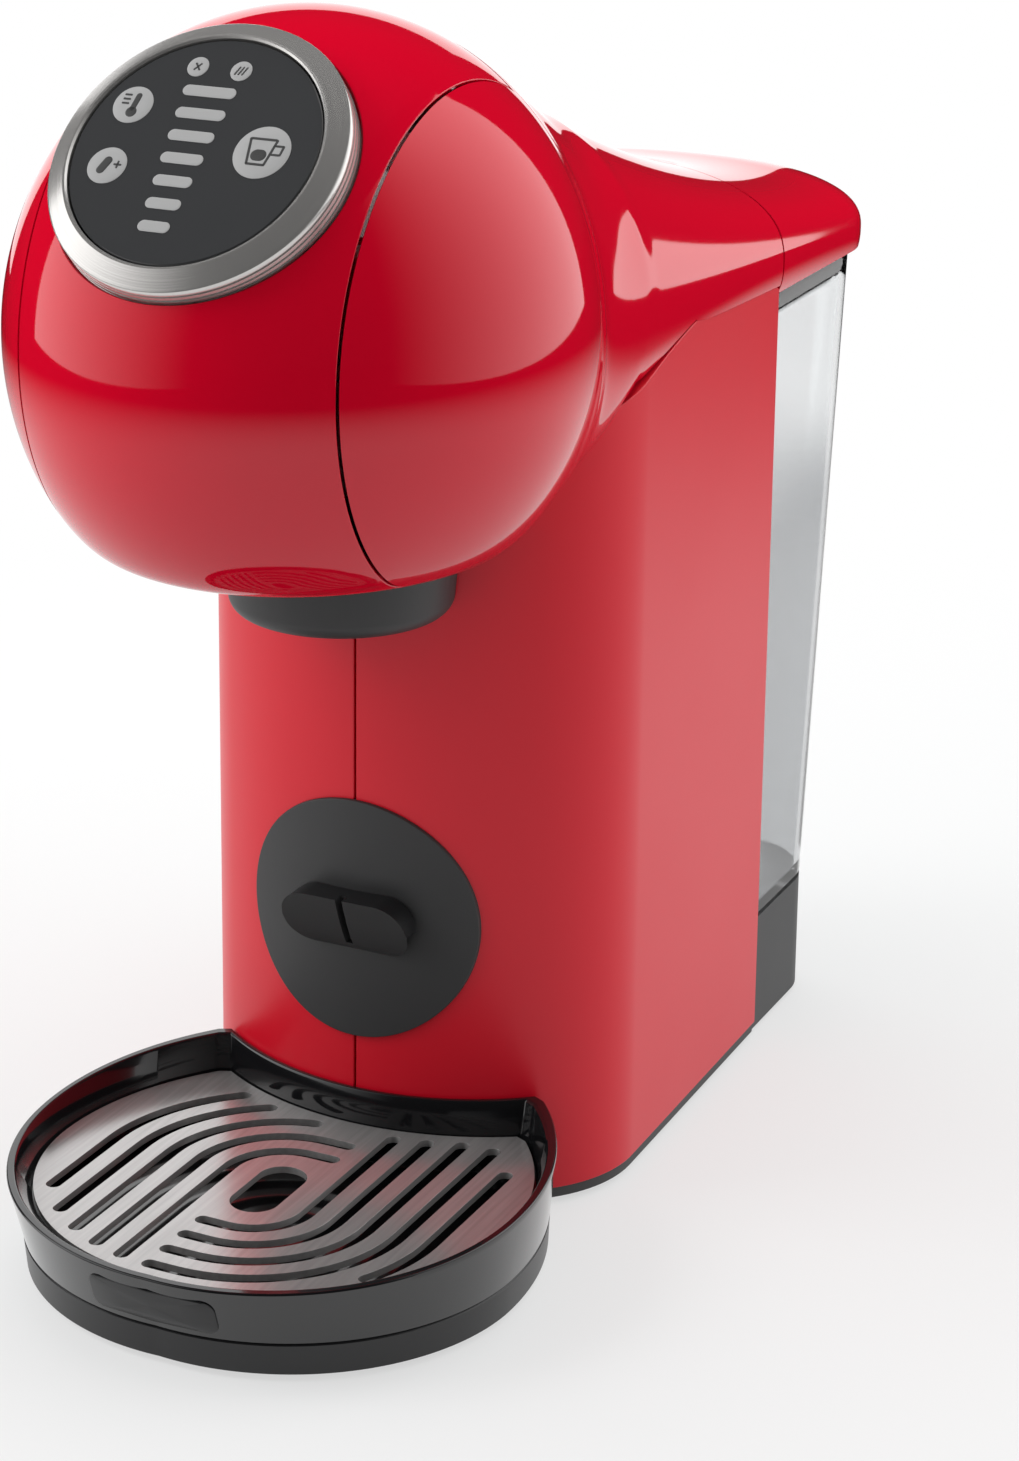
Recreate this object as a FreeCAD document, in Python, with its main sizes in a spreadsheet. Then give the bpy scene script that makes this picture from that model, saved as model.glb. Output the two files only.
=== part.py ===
"""Pod coffee machine: ball-shaped head over a narrow column, rear water tank and pull-out drip tray.

Millimetres. +Z is up, the front faces -Y, X is across the machine, and the origin lies on the
surface it stands on, at the middle of its bounding box.
"""
import FreeCAD, Part
import math
import os

V = FreeCAD.Vector
doc = FreeCAD.newDocument("pod_coffee_machine")
sheet = doc.addObject("Spreadsheet::Sheet", "sizes")

# Driving sizes
SIZES = [
    ("machine_height", 273.0), ("tray_reach", 93.0), ("body_depth", 121.0), ("tank_depth", 70.0),
    ("body_width", 102.0), ("body_rear_width", 96.0), ("column_radius", 64.0), ("column_arc_half", 38.0),
    ("shell_wall", 2.6), ("part_gap", 0.5), ("slide_gap", 0.4),
    ("foot_height", 1.5), ("foot_diameter", 14.0), ("foot_inset", 14.0), ("plate_thickness", 2.5),
    ("plate_rim_height", 6.0), ("screw_diameter", 3.0), ("screw_head_diameter", 6.0), ("screw_length", 8.0),
    ("head_width", 121.6), ("head_diameter", 131.6), ("head_forward", 21.8), ("head_wall", 2.6),
    ("visor_width", 71.2), ("visor_low_angle", 60.0), ("visor_high_angle", 114.5),
    ("hinge_offset", 44.0), ("hinge_angle", 107.0), ("pin_diameter", 5.0), ("pin_length", 82.0),
    ("pin_fit", 0.05), ("lug_radius", 7.0), ("lug_width", 6.0), ("barrel_gap", 0.4),
    ("dial_pitch", 45.0), ("dial_face", 62.6), ("dial_seat", 54.0), ("dial_seat_plate", 2.5),
    ("dial_glass_diameter", 52.4), ("dial_glass_thickness", 1.2), ("dial_ring_diameter", 63.0),
    ("dial_ring_crown", 0.9), ("dial_groove_depth", 0.5), ("dial_groove_pitch", 1.6),
    ("head_floor", 162.0), ("chin_plate", 2.5), ("chin_inset", 8.0), ("chin_diameter", 52.0),
    ("chin_height", 20.5), ("chin_ahead", 6.0), ("chin_round", 4.0), ("chin_lean", 2.0),
    ("outlet_diameter", 12.0), ("join_back", 21.0), ("neck_blend", 40.0), ("neck_softness", 5.0), ("neck_height", 266.0),
    ("neck_flank", 0.8), ("neck_fall", 1.7), ("lid_rear_height", 207.0), ("lid_base_height", 188.0),
    ("lid_corner", 20.0), ("seam_front_height", 174.0), ("seam_mid_height", 187.5),
    ("seam_crest_height", 195.5), ("seam_rear_height", 190.5), ("seam_start", 14.0), ("flank_rise", 4.0),
    ("tank_wall", 2.2), ("tank_floor", 2.6), ("tank_taper", 19.0), ("tank_corner", 18.0),
    ("tank_side_inset", 1.0), ("tank_rear_inset", 5.0), ("dock_height", 31.0), ("valve_diameter", 12.0),
    ("valve_drop", 9.0), ("gland_diameter", 12.0), ("gland_length", 6.0), ("gland_height", 13.0),
    ("hanger_diameter", 56.0), ("hanger_height", 67.5), ("hanger_proud", 1.0),
    ("hook_width", 31.0), ("hook_height", 14.0), ("hook_reach", 7.0), ("hook_slot_width", 2.0),
    ("hook_slot_depth", 3.0), ("hook_ledge", 3.0),
    ("tray_width", 118.0), ("tray_wide_at", 38.0), ("tray_tail_half", 39.0), ("tray_column_gap", 0.4),
    ("tray_side_share", 0.2), ("tray_flare", 5.0), ("tray_base_height", 8.0), ("tray_foot_height", 1.2),
    ("tray_foot_diameter", 9.0),
    ("tray_rim_rear", 27.0), ("tray_rim_front", 22.5), ("tray_wall", 2.0), ("tray_floor", 2.2),
    ("grille_height", 19.0), ("grille_thickness", 1.6), ("grille_ledge", 2.6), ("grille_gap", 0.4),
    ("slot_width", 3.4), ("slot_pitch", 7.4), ("eye_radius", 5.5), ("eye_half_length", 6.0),
    ("grille_border", 4.5), ("grille_eye_ahead", 40.0),
    ("holder_diameter", 46.0), ("holder_height", 12.0), ("pod_diameter", 30.0), ("brew_height", 24.0),
    ("needle_diameter", 4.0), ("needle_length", 3.0),
    ("chassis_back", 60.0), ("chassis_thickness", 3.0), ("chassis_width", 72.0), ("chassis_top", 172.0),
    ("pump_diameter", 34.0), ("pump_length", 60.0), ("pump_bottom", 16.0), ("unit_back", 36.0),
    ("heater_diameter", 42.0), ("heater_length", 50.0), ("heater_bottom", 86.0), ("bracket_width", 20.0),
    ("hose_diameter", 6.0), ("hose_bend", 14.0), ("inlet_height", 26.0),
    ("board_width", 50.0), ("board_height", 90.0), ("board_thickness", 1.6), ("board_bottom", 50.0),
    ("standoff_height", 5.0), ("standoff_diameter", 6.0),
]
for row, (alias, value) in enumerate(SIZES, start=1):
    sheet.set("A%d" % row, alias)
    sheet.set("B%d" % row, str(value))
    sheet.setAlias("B%d" % row, alias)
doc.recompute()
size = {alias: float(sheet.get(alias)) for alias, value in SIZES}

# Places worked out from the driving sizes
FRONT = -(size["tray_reach"] + size["body_depth"] + size["tank_depth"]) / 2
COLUMN = FRONT + size["tray_reach"]
BODY_REAR = COLUMN + size["body_depth"]
REAR = BODY_REAR + size["tank_depth"]
HEAD_RADIUS = size["head_diameter"] / 2
HEAD_HALF = size["head_width"] / 2
HEAD = V(0, COLUMN - size["head_forward"], size["machine_height"] - HEAD_RADIUS)
VISOR_HALF = size["visor_width"] / 2
SLAB_HALF = VISOR_HALF + size["part_gap"]
SHELL_BOTTOM = size["foot_height"] + size["plate_thickness"]
TALL = size["machine_height"] * 1.2
FAR = (REAR - FRONT) * 1.2
UNIT_Y = COLUMN + size["unit_back"]
CHASSIS_Y = COLUMN + size["chassis_back"]


def spoke(angle, radius):
    """Point at a radius from the head's axis, at an angle up from straight ahead."""
    turn = math.radians(angle)
    return HEAD + V(0, -math.cos(turn), math.sin(turn)) * radius


JOIN = HEAD.y + size["join_back"]
HINGE = spoke(size["hinge_angle"], size["hinge_offset"])


def prism_x(points, half_width):
    """Block whose side outline is a list of points, centred on X."""
    outline = [V(-half_width, p.y, p.z) for p in points]
    return Part.Face(Part.makePolygon(outline + outline[:1])).extrude(V(2 * half_width, 0, 0))


def slab(low, high):
    return Part.makeBox(high.x - low.x, high.y - low.y, high.z - low.z, low)


def rod(start, end, diameter):
    return Part.makeCylinder(diameter / 2, (end - start).Length, start, end - start)


def sector(angle_low, angle_high, half_width):
    """Wedge about the head's axis between two angles."""
    steps = 8
    fan = [spoke(angle_low + (angle_high - angle_low) * i / steps, 2 * HEAD_RADIUS) for i in range(steps + 1)]
    return prism_x([HEAD] + fan, half_width)


def head_ball(inset):
    """Ellipse turned about X: the head's skin, drawn in by an inset."""
    across = HEAD_HALF - inset
    radius = HEAD_RADIUS - inset
    if radius >= across:
        ellipse = Part.Ellipse(V(0, -radius, 0), V(across, 0, 0), V())
        arc = Part.ArcOfEllipse(ellipse, -math.pi / 2, math.pi / 2)
    else:
        ellipse = Part.Ellipse(V(-across, 0, 0), V(0, -radius, 0), V())
        arc = Part.ArcOfEllipse(ellipse, 0, math.pi)
    skin = arc.toShape()
    ends = [v.Point for v in skin.Vertexes]
    profile = Part.Face(Part.Wire([skin, Part.makeLine(ends[1], ends[0])]))
    ball = profile.revolve(V(), V(1, 0, 0), 360)
    ball.translate(HEAD)
    return ball


def mirrored_outline(half):
    """Closed wire from the right half of an outline: tuples of the points of a line or an arc."""
    edges = []
    for points in half:
        flipped = [V(-p.x, p.y, p.z) for p in points]
        for run in (points, flipped):
            if len(run) == 3:
                edges.append(Part.Arc(*run).toShape())
            else:
                edges.append(Part.makeLine(*run))
    return Part.Wire(Part.__sortEdges__(edges))


def body_plan():
    """Column plan: one shallow front arc, tangent corner arcs and sides that draw in to the rear."""
    radius = size["column_radius"]
    arc_x = size["column_arc_half"]
    half = size["body_width"] / 2
    rear_half = size["body_rear_width"] / 2
    start = math.asin(arc_x / radius)
    finish = math.pi / 2 + math.atan((half - rear_half) / size["body_depth"])
    corner = (half - arc_x) / (1 - math.sin(start))
    arc_y = COLUMN + radius * (1 - math.cos(start))

    def corner_point(turn):
        return V(arc_x + corner * (math.sin(turn) - math.sin(start)),
                 arc_y + corner * (math.cos(start) - math.cos(turn)), 0)

    quarter = start / 2
    front = (V(0, COLUMN, 0),
             V(radius * math.sin(quarter), COLUMN + radius * (1 - math.cos(quarter)), 0),
             V(arc_x, arc_y, 0))
    bend = (front[2], corner_point((start + finish) / 2), corner_point(finish))
    side = (bend[2], V(rear_half, BODY_REAR, 0))
    rear = (side[1], V(0, BODY_REAR, 0))
    return mirrored_outline([front, bend, side, rear])


def upright(wire, bottom, top):
    face = Part.Face(wire)
    face.translate(V(0, 0, bottom))
    return face.extrude(V(0, 0, top - bottom))


PLAN = body_plan()


def column_block(grow, bottom, top):
    wire = PLAN.makeOffset2D(grow) if grow else PLAN
    return upright(wire, bottom, top)


def side_seam(lift):
    """Side view curve between the gloss cover above and the matt column below."""
    stations = [(-0.2, 2 * size["seam_front_height"] - size["seam_mid_height"]),
                (0.0, size["seam_front_height"]), (0.3, size["seam_mid_height"]),
                (0.58, size["seam_crest_height"]), (1.0, size["seam_rear_height"])]
    curve = Part.BSplineCurve()
    curve.interpolate([V(-FAR, COLUMN + share * size["body_depth"], height + lift)
                       for share, height in stations])
    return curve


def above_seam(lift):
    """Everything over the side seam, level from the body's rear edge to the back."""
    curve = side_seam(lift)
    first, last = curve.StartPoint, curve.EndPoint
    back = V(-FAR, FAR, last.z)
    corners = [last, back, V(-FAR, FAR, TALL), V(-FAR, first.y, TALL), first]
    edges = [curve.toShape()] + [Part.makeLine(a, b) for a, b in zip(corners, corners[1:])]
    return Part.Face(Part.Wire(edges)).extrude(V(2 * FAR, 0, 0))


def smooth_max(first, second, softness):
    """Larger of two values, rounded off over the softness where they cross."""
    return (first + second + math.hypot(first - second, softness)) / 2


def neck_section(place, reach, inset):
    """Arched section at a distance behind the join plane: the head's own at first, then the neck's."""
    ball_radius = HEAD_RADIUS - inset
    back = min(size["join_back"] + place, ball_radius)
    past = size["join_back"] + place - back
    shrink = math.sqrt(1 - (back / ball_radius) ** 2)
    blend = min(1.0, place / size["neck_blend"])
    share = place / reach
    corner = size["lid_corner"]
    into = max(0.0, place - (reach - corner)) / corner
    rounding = corner * (1 - math.sqrt(max(0.0, 1 - into ** 2))) * 0.8
    taper = (size["body_width"] - size["body_rear_width"]) / 2 / size["body_depth"]
    neck_half = size["body_width"] / 2 + size["neck_flank"] - taper * place - rounding - inset
    fall = (size["neck_height"] - size["lid_rear_height"]) * (1 - share) ** size["neck_fall"]
    neck_crown = size["lid_rear_height"] + fall - rounding * 0.25 - inset
    softness = size["neck_softness"] * blend
    half = smooth_max((HEAD_HALF - inset) * shrink, neck_half, softness)
    crown = smooth_max(HEAD.z + ball_radius * shrink - past, neck_crown, softness)
    neck_middle = size["lid_base_height"] + size["flank_rise"] * (1 + 4 * share * (1 - share))
    middle = neck_middle + (HEAD.z - neck_middle) * (1 - blend) ** 2
    drop = max(middle - HEAD.z + ball_radius * shrink, size["lid_corner"])
    lean = 1 - 0.2 * blend
    points = []
    for step in range(16):
        turn = 2 * math.pi * step / 16
        across = math.copysign(abs(math.cos(turn)) ** lean, math.cos(turn))
        along = math.copysign(abs(math.sin(turn)) ** lean, math.sin(turn))
        tall = crown - middle if along > 0 else drop
        points.append(V(half * across, JOIN + place, middle + tall * along))
    curve = Part.BSplineCurve()
    curve.interpolate(points, PeriodicFlag=True)
    return Part.Wire(curve.toShape())


def neck(inset):
    """Loft of arched sections from the head back to the lid's rear edge."""
    reach = REAR - JOIN - inset
    places = [share * reach for share in (0, 0.04, 0.08, 0.13, 0.19, 0.27, 0.38, 0.52, 0.66, 0.8)]
    places += [reach - size["lid_corner"] * left for left in (0.8, 0.4, 0.12, 0)]
    return Part.makeLoft([neck_section(place, reach, inset) for place in places], True, False)


# Document objects
PARTS = {}


def feature(label, shape):
    """A sub-part whose form is worked out by Part's own functions."""
    item = doc.addObject("Part::Feature", label)
    item.Label = label
    item.Shape = shape
    PARTS[label] = item
    return item


def new_body(label):
    body = doc.addObject("PartDesign::Body", label)
    body.Label = label
    PARTS[label] = body
    return body


def as_geometry(edge):
    ends = [edge.valueAt(edge.FirstParameter), edge.valueAt(edge.LastParameter)]
    if isinstance(edge.Curve, Part.Line):
        return Part.LineSegment(*ends)
    if edge.isClosed():
        return Part.Circle(edge.Curve.Center, V(0, 0, 1), edge.Curve.Radius)
    middle = edge.valueAt((edge.FirstParameter + edge.LastParameter) / 2)
    return Part.Arc(ends[0], middle, ends[1])


def sketch(body, role, wires, lift=None):
    """Sketch on one of the body's own origin planes, lifted by an expression of the sheet."""
    item = body.newObject("Sketcher::SketchObject", body.Label + "_sketch")
    base = next(f for f in body.Origin.OriginFeatures if f.Role == role)
    item.AttachmentSupport = (base, [""])
    item.MapMode = "FlatFace"
    if lift:
        item.setExpression("AttachmentOffset.Base.z", lift)
    for wire in wires:
        for edge in wire.Edges:
            item.addGeometry(as_geometry(edge), False)
    return item


def pad(body, profile, length):
    item = body.newObject("PartDesign::Pad", body.Label + "_pad")
    item.Profile = profile
    item.setExpression("Length", length)
    doc.recompute()
    return item


def pocket_through(body, profile):
    """Cut the profile right through the body, both ways."""
    before = body.Shape.Volume
    item = body.newObject("PartDesign::Pocket", body.Label + "_pocket")
    item.Profile = profile
    item.Type = "ThroughAll"
    item.Midplane = True
    doc.recompute()
    if body.Shape.Volume >= before:
        raise RuntimeError("pocket cut nothing from " + body.Label)
    return item


def turned(label, outline, placement):
    """Body of revolution about its own Z axis, from (radius, height) pairs, then placed."""
    body = new_body(label)
    points = [V(r, h, 0) for r, h in outline]
    profile = sketch(body, "XZ_Plane", [Part.makePolygon(points + points[:1])])
    item = body.newObject("PartDesign::Revolution", label + "_turn")
    item.Profile = profile
    item.ReferenceAxis = (profile, ["V_Axis"])
    item.Angle = 360
    body.Placement = placement
    doc.recompute()
    return body


def circle_wire(x, y, diameter):
    return Part.Wire(Part.makeCircle(diameter / 2, V(x, y, 0)))


# Head cover, lid and visor
BALL = head_ball(0)
BALL_INNER = head_ball(size["head_wall"])
NECK = neck(0)
NECK_INNER = neck(size["head_wall"])
ABOVE = above_seam(0)


def over_floor(grow):
    """Everything above the head's flat underside, lowered by a gap."""
    return slab(V(-FAR, -FAR, size["head_floor"] - grow), V(FAR, FAR, TALL))


def head_room(grow):
    """The head's ball above its flat underside, with room to spare."""
    return head_ball(-grow).common(over_floor(grow))


def visor_room():
    """Space kept clear for the visor: its strip of the head, and the sweep of its curved rear edge."""
    strip = sector(size["visor_low_angle"] - 180, size["visor_high_angle"] + size["part_gap"] / 2, SLAB_HALF)
    steps = 12
    rim = []
    for step in range(steps + 1):
        x = SLAB_HALF * (2 * step / steps - 1)
        corner = spoke(size["visor_high_angle"], HEAD_RADIUS * math.sqrt(1 - (x / HEAD_HALF) ** 2))
        rim.append(V(x, 0, (corner - HINGE).Length + size["barrel_gap"]))
    outline = [V(-SLAB_HALF, 0, 0)] + rim + [V(SLAB_HALF, 0, 0)]
    sweep = Part.Face(Part.makePolygon(outline + outline[:1])).revolve(V(), V(1, 0, 0), 360)
    sweep.translate(V(0, HINGE.y, HINGE.z))
    return strip, sweep


def column_room():
    """The column below the side seam, with room to spare."""
    return column_block(size["part_gap"] / 2, 0, TALL).cut(ABOVE)


def make_head_cover():
    """Neck between the head and the lid, cut off along the side seam."""
    strip, sweep = visor_room()
    below = slab(V(-FAR, COLUMN + size["seam_start"], 0), V(FAR, FAR, TALL)).cut(ABOVE)
    behind = slab(V(-FAR, BODY_REAR - size["slide_gap"], 0), V(FAR, FAR, TALL))
    skin = NECK.cut(NECK_INNER).common(over_floor(0))
    for room in (behind, below, column_room(), strip, sweep):
        skin = skin.cut(room)
    feature("head_cover", max(skin.Solids, key=lambda s: s.Volume))


def make_head_cheeks():
    """Side caps of the head, each with the boss that holds one end of the hinge pin."""
    ahead = slab(V(-FAR, -FAR, 0), V(FAR, JOIN, TALL))
    beside = slab(V(SLAB_HALF, -FAR, 0), V(FAR, FAR, TALL))
    inner = V(SLAB_HALF, HINGE.y, HINGE.z)
    boss = rod(inner, V(HEAD_HALF, HINGE.y, HINGE.z), 2 * size["lug_radius"]).common(BALL).common(ahead)
    bore = rod(inner, V(size["pin_length"] / 2, HINGE.y, HINGE.z), size["pin_diameter"] + 2 * size["pin_fit"])
    skin = BALL.cut(BALL_INNER).common(ahead).common(over_floor(0)).cut(column_room()).common(beside)
    cheek = max(skin.fuse(boss).cut(bore).Solids, key=lambda s: s.Volume)
    feature("head_cheek_right", cheek)
    feature("head_cheek_left", cheek.mirror(V(), V(1, 0, 0)))


def make_tank_lid():
    gap = size["slide_gap"]
    start = BODY_REAR + gap
    keep = slab(V(-FAR, start, size["lid_base_height"] + gap), V(FAR, FAR, TALL))
    hollow = slab(V(-FAR, start + size["head_wall"], 0), V(FAR, FAR, TALL))
    feature("tank_lid", NECK.common(keep).cut(NECK_INNER.common(hollow)))


def make_visor():
    """Front band of the head's skin, with its hinge lugs and the flat seat of the dial."""
    band = sector(-size["visor_low_angle"], size["visor_high_angle"], VISOR_HALF)
    dial = dial_placement()
    seat_room = Part.makeCylinder(size["dial_ring_diameter"] / 2 + size["part_gap"], HEAD_RADIUS,
                                  V(0, 0, size["dial_seat"]))
    seat_radius = size["dial_ring_diameter"] / 2 + size["part_gap"] + size["head_wall"]
    seat = Part.makeCylinder(seat_radius, size["dial_seat_plate"],
                             V(0, 0, size["dial_seat"] - size["dial_seat_plate"]))
    for shape in (seat_room, seat):
        shape.Placement = dial
    skin = BALL.cut(BALL_INNER).common(band).common(over_floor(0)).cut(seat_room)
    skin = skin.fuse(seat.common(BALL).common(band))
    reach = (HINGE - HEAD).normalize()
    aside = V(0, reach.z, -reach.y) * (size["lug_radius"] * 0.85)
    arm_points = [HINGE - aside, HINGE + aside, HINGE + aside + reach * HEAD_RADIUS,
                  HINGE - aside + reach * HEAD_RADIUS]
    arm = prism_x(arm_points, VISOR_HALF).common(BALL).common(band)
    eye = rod(V(-VISOR_HALF, HINGE.y, HINGE.z), V(VISOR_HALF, HINGE.y, HINGE.z), 2 * size["lug_radius"])
    middle = VISOR_HALF - size["lug_width"]
    between = slab(V(-middle, -FAR, 0), V(middle, FAR, TALL))
    lugs = arm.fuse(eye).cut(between)
    bore = rod(V(-FAR, HINGE.y, HINGE.z), V(FAR, HINGE.y, HINGE.z),
               size["pin_diameter"] + 2 * size["pin_fit"])
    feature("visor", skin.fuse(lugs).cut(bore).removeSplitter())


def make_hinge_pin():
    pin = doc.addObject("Part::Cylinder", "hinge_pin")
    pin.setExpression("Radius", "sizes.pin_diameter / 2")
    pin.setExpression("Height", "sizes.pin_length")
    pin.Placement = FreeCAD.Placement(V(-size["pin_length"] / 2, HINGE.y, HINGE.z),
                                      FreeCAD.Rotation(V(0, 1, 0), 90))
    PARTS["hinge_pin"] = pin


# Control dial
def dial_placement():
    tilt = FreeCAD.Rotation(V(1, 0, 0), 90 - size["dial_pitch"])
    return FreeCAD.Placement(HEAD, tilt)


def make_dial():
    place = dial_placement()
    gap = size["slide_gap"]
    glass_radius = size["dial_glass_diameter"] / 2
    ring_radius = size["dial_ring_diameter"] / 2
    bore = glass_radius + gap
    face = size["dial_face"]
    glass_low = face - size["dial_glass_thickness"]
    seat = size["dial_seat"]
    turned("dial_hub", [(0, seat), (glass_radius, seat), (glass_radius, glass_low), (0, glass_low)], place)
    turned("dial_glass", [(0, glass_low), (glass_radius, glass_low), (glass_radius, face), (0, face)], place)
    crown = face + size["dial_ring_crown"]
    bevel = size["dial_ring_crown"]
    outline = [(bore, seat + gap), (ring_radius, seat + gap)]
    height = seat + gap + size["dial_groove_pitch"]
    while height + size["dial_groove_pitch"] < face - bevel:
        half = size["dial_groove_pitch"] / 4
        outline += [(ring_radius, height - half), (ring_radius - size["dial_groove_depth"], height),
                    (ring_radius, height + half)]
        height += size["dial_groove_pitch"]
    outline += [(ring_radius, face - bevel), (ring_radius - 1.5 * bevel, crown), (bore + bevel, crown),
                (bore, face - bevel / 2)]
    turned("dial_ring", outline, place)


# Underside of the head and brewing parts
def make_chin():
    """Floor plate of the head with the round cup of the outlet under it, clear of the column's front."""
    floor = size["head_floor"]
    level = slab(V(-FAR, -FAR, floor), V(FAR, FAR, floor + size["chin_plate"]))
    plate = head_ball(size["head_wall"] + size["chin_inset"]).common(level)
    radius = size["chin_diameter"] / 2
    low = V(0, COLUMN - size["chin_ahead"], floor - size["chin_height"])
    cup = Part.makeCone(radius - size["chin_lean"], radius, size["chin_height"] + size["chin_plate"] / 2, low)
    rim = [edge for edge in cup.Edges if abs(edge.BoundBox.ZMax - low.z) < 1e-6]
    cup = cup.makeFillet(size["chin_round"], rim)
    cup = cup.cut(column_block(size["part_gap"], 0, floor))
    outlet = rod(V(0, HEAD.y, 0), V(0, HEAD.y, HEAD.z), size["outlet_diameter"])
    feature("head_underside", plate.fuse(cup).cut(outlet).removeSplitter())


def make_brewing_parts():
    base = size["head_floor"] + size["chin_plate"]
    upright_axis = FreeCAD.Placement(V(0, HEAD.y, base), FreeCAD.Rotation())
    outer = size["holder_diameter"] / 2
    pod = size["pod_diameter"] / 2
    outlet = size["outlet_diameter"] / 2
    height = size["holder_height"]
    shelf = height / 3
    turned("capsule_holder", [(outlet, 0), (outer, 0), (outer, height), (pod, height), (pod, shelf),
                              (outlet, shelf)], upright_axis)
    low = height + size["slide_gap"]
    needle = size["needle_diameter"] / 2
    high = low + size["brew_height"]
    turned("brew_head", [(0, low), (outer, low), (outer, high), (0, high)], upright_axis)
    turned("piercing_needle", [(0, low - size["needle_length"]), (needle, low), (0, low)], upright_axis)


# Column shells, base and feet
def make_shells():
    gap = size["part_gap"]
    wall = size["shell_wall"]
    shell = column_block(0, SHELL_BOTTOM, TALL).cut(column_block(-wall, 0, TALL))
    shell = shell.cut(above_seam(-gap)).cut(head_room(gap))
    hanger = rod(V(0, COLUMN - size["column_radius"], size["hanger_height"]),
                 V(0, COLUMN + size["column_radius"] / 2, size["hanger_height"]),
                 size["hanger_diameter"] + size["part_gap"])
    hose = rod(V(0, BODY_REAR - 2 * wall, size["inlet_height"]), V(0, BODY_REAR + wall, size["inlet_height"]),
               size["hose_diameter"] + 2 * size["slide_gap"])
    shell = shell.cut(hanger).cut(hose)
    for label, side in (("body_shell_left", -1), ("body_shell_right", 1)):
        near = side * gap / 2
        edge = side * FAR
        half = slab(V(min(near, edge), -FAR, 0), V(max(near, edge), FAR, TALL))
        pieces = sorted(shell.common(half).Solids, key=lambda s: -s.Volume)
        feature(label, pieces[0])


def foot_places():
    inset = size["foot_inset"]
    front_y = COLUMN + size["column_radius"] / 2
    front_x = size["body_width"] / 2 - inset
    rear_x = size["body_rear_width"] / 2 - inset
    return [V(x, y, 0) for x, y in ((-front_x, front_y), (front_x, front_y),
                                    (-rear_x, BODY_REAR - inset), (rear_x, BODY_REAR - inset))]


def screw_places():
    inset = size["foot_inset"] + size["foot_diameter"]
    return [V(side * (size["body_rear_width"] / 2 - inset), y, 0) for side in (-1, 1)
            for y in (COLUMN + inset, BODY_REAR - inset)]


def make_base():
    body = new_body("base_plate")
    holes = [circle_wire(p.x, p.y, size["screw_diameter"] + size["part_gap"]) for p in screw_places()]
    plate = sketch(body, "XY_Plane", [PLAN.makeOffset2D(-size["part_gap"])] + holes, "sizes.foot_height")
    pad(body, plate, "sizes.plate_thickness")
    outer = PLAN.makeOffset2D(-size["shell_wall"] - size["slide_gap"])
    inner = PLAN.makeOffset2D(-2 * size["shell_wall"] - size["slide_gap"])
    rim = sketch(body, "XY_Plane", [outer, inner], "sizes.foot_height + sizes.plate_thickness")
    pad(body, rim, "sizes.plate_rim_height")
    feet = [Part.makeCone(size["foot_diameter"] / 2 - size["foot_height"] / 3, size["foot_diameter"] / 2,
                          size["foot_height"], p) for p in foot_places()]
    feature("body_feet", Part.makeCompound(feet))
    screws = []
    for p in screw_places():
        length = size["screw_length"]
        shank = Part.makeCylinder(size["screw_diameter"] / 2, length, p + V(0, 0, size["foot_height"]))
        head_height = size["foot_height"] / 2
        cap = Part.makeCylinder(size["screw_head_diameter"] / 2, head_height,
                                p + V(0, 0, size["foot_height"] - head_height))
        screws.append(shank.fuse(cap))
    feature("case_screws", Part.makeCompound(screws))


# Column front: the round hanger and its hook
def make_hanger():
    axis_low = V(0, FRONT, size["hanger_height"])
    axis_high = V(0, COLUMN + size["column_radius"] / 2, size["hanger_height"])
    disc = column_block(size["hanger_proud"], 0, TALL).cut(column_block(-size["shell_wall"], 0, TALL))
    feature("tray_hanger", disc.common(rod(axis_low, axis_high, size["hanger_diameter"])))
    half = size["hook_width"] / 2
    tall = size["hook_height"]
    middle = size["hanger_height"]
    low_y = COLUMN - size["hanger_proud"] - size["hook_reach"]
    bar = slab(V(-half + tall / 2, low_y, middle - tall / 2), V(half - tall / 2, COLUMN + half, middle + tall / 2))
    for side in (-1, 1):
        x = side * (half - tall / 2)
        bar = bar.fuse(rod(V(x, low_y, middle), V(x, COLUMN + half, middle), tall))
    slot = slab(V(-size["hook_slot_width"] / 2, low_y, middle - tall),
                V(size["hook_slot_width"] / 2, low_y + size["hook_slot_depth"],
                  middle + tall / 2 - size["hook_ledge"]))
    seat = column_block(size["hanger_proud"] + size["pin_fit"], 0, TALL)
    feature("hanger_hook", bar.cut(slot).cut(seat).removeSplitter())


# Water tank and its dock
def tank_wire(rear, inset, height):
    """Tank plan: flat front, sides that draw in, and round rear corners."""
    front_y = BODY_REAR + size["slide_gap"] + inset
    front_half = size["body_rear_width"] / 2 - size["tank_side_inset"] - inset
    slope = (size["body_width"] - size["body_rear_width"]) / 2 / size["body_depth"]
    corner = size["tank_corner"] - inset
    rear_y = rear - inset
    side_y = rear_y - corner
    side_half = front_half - slope * (side_y - front_y)
    centre = V(side_half - corner, side_y, height)
    middle = centre + V(corner, corner, 0) * math.sqrt(0.5)
    side = (V(front_half, front_y, height), V(side_half, side_y, height))
    bend = (side[1], middle, centre + V(0, corner, 0))
    front = (V(0, front_y, height), side[0])
    back = (bend[2], V(0, rear_y, height))
    return mirrored_outline([front, side, bend, back])


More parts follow.
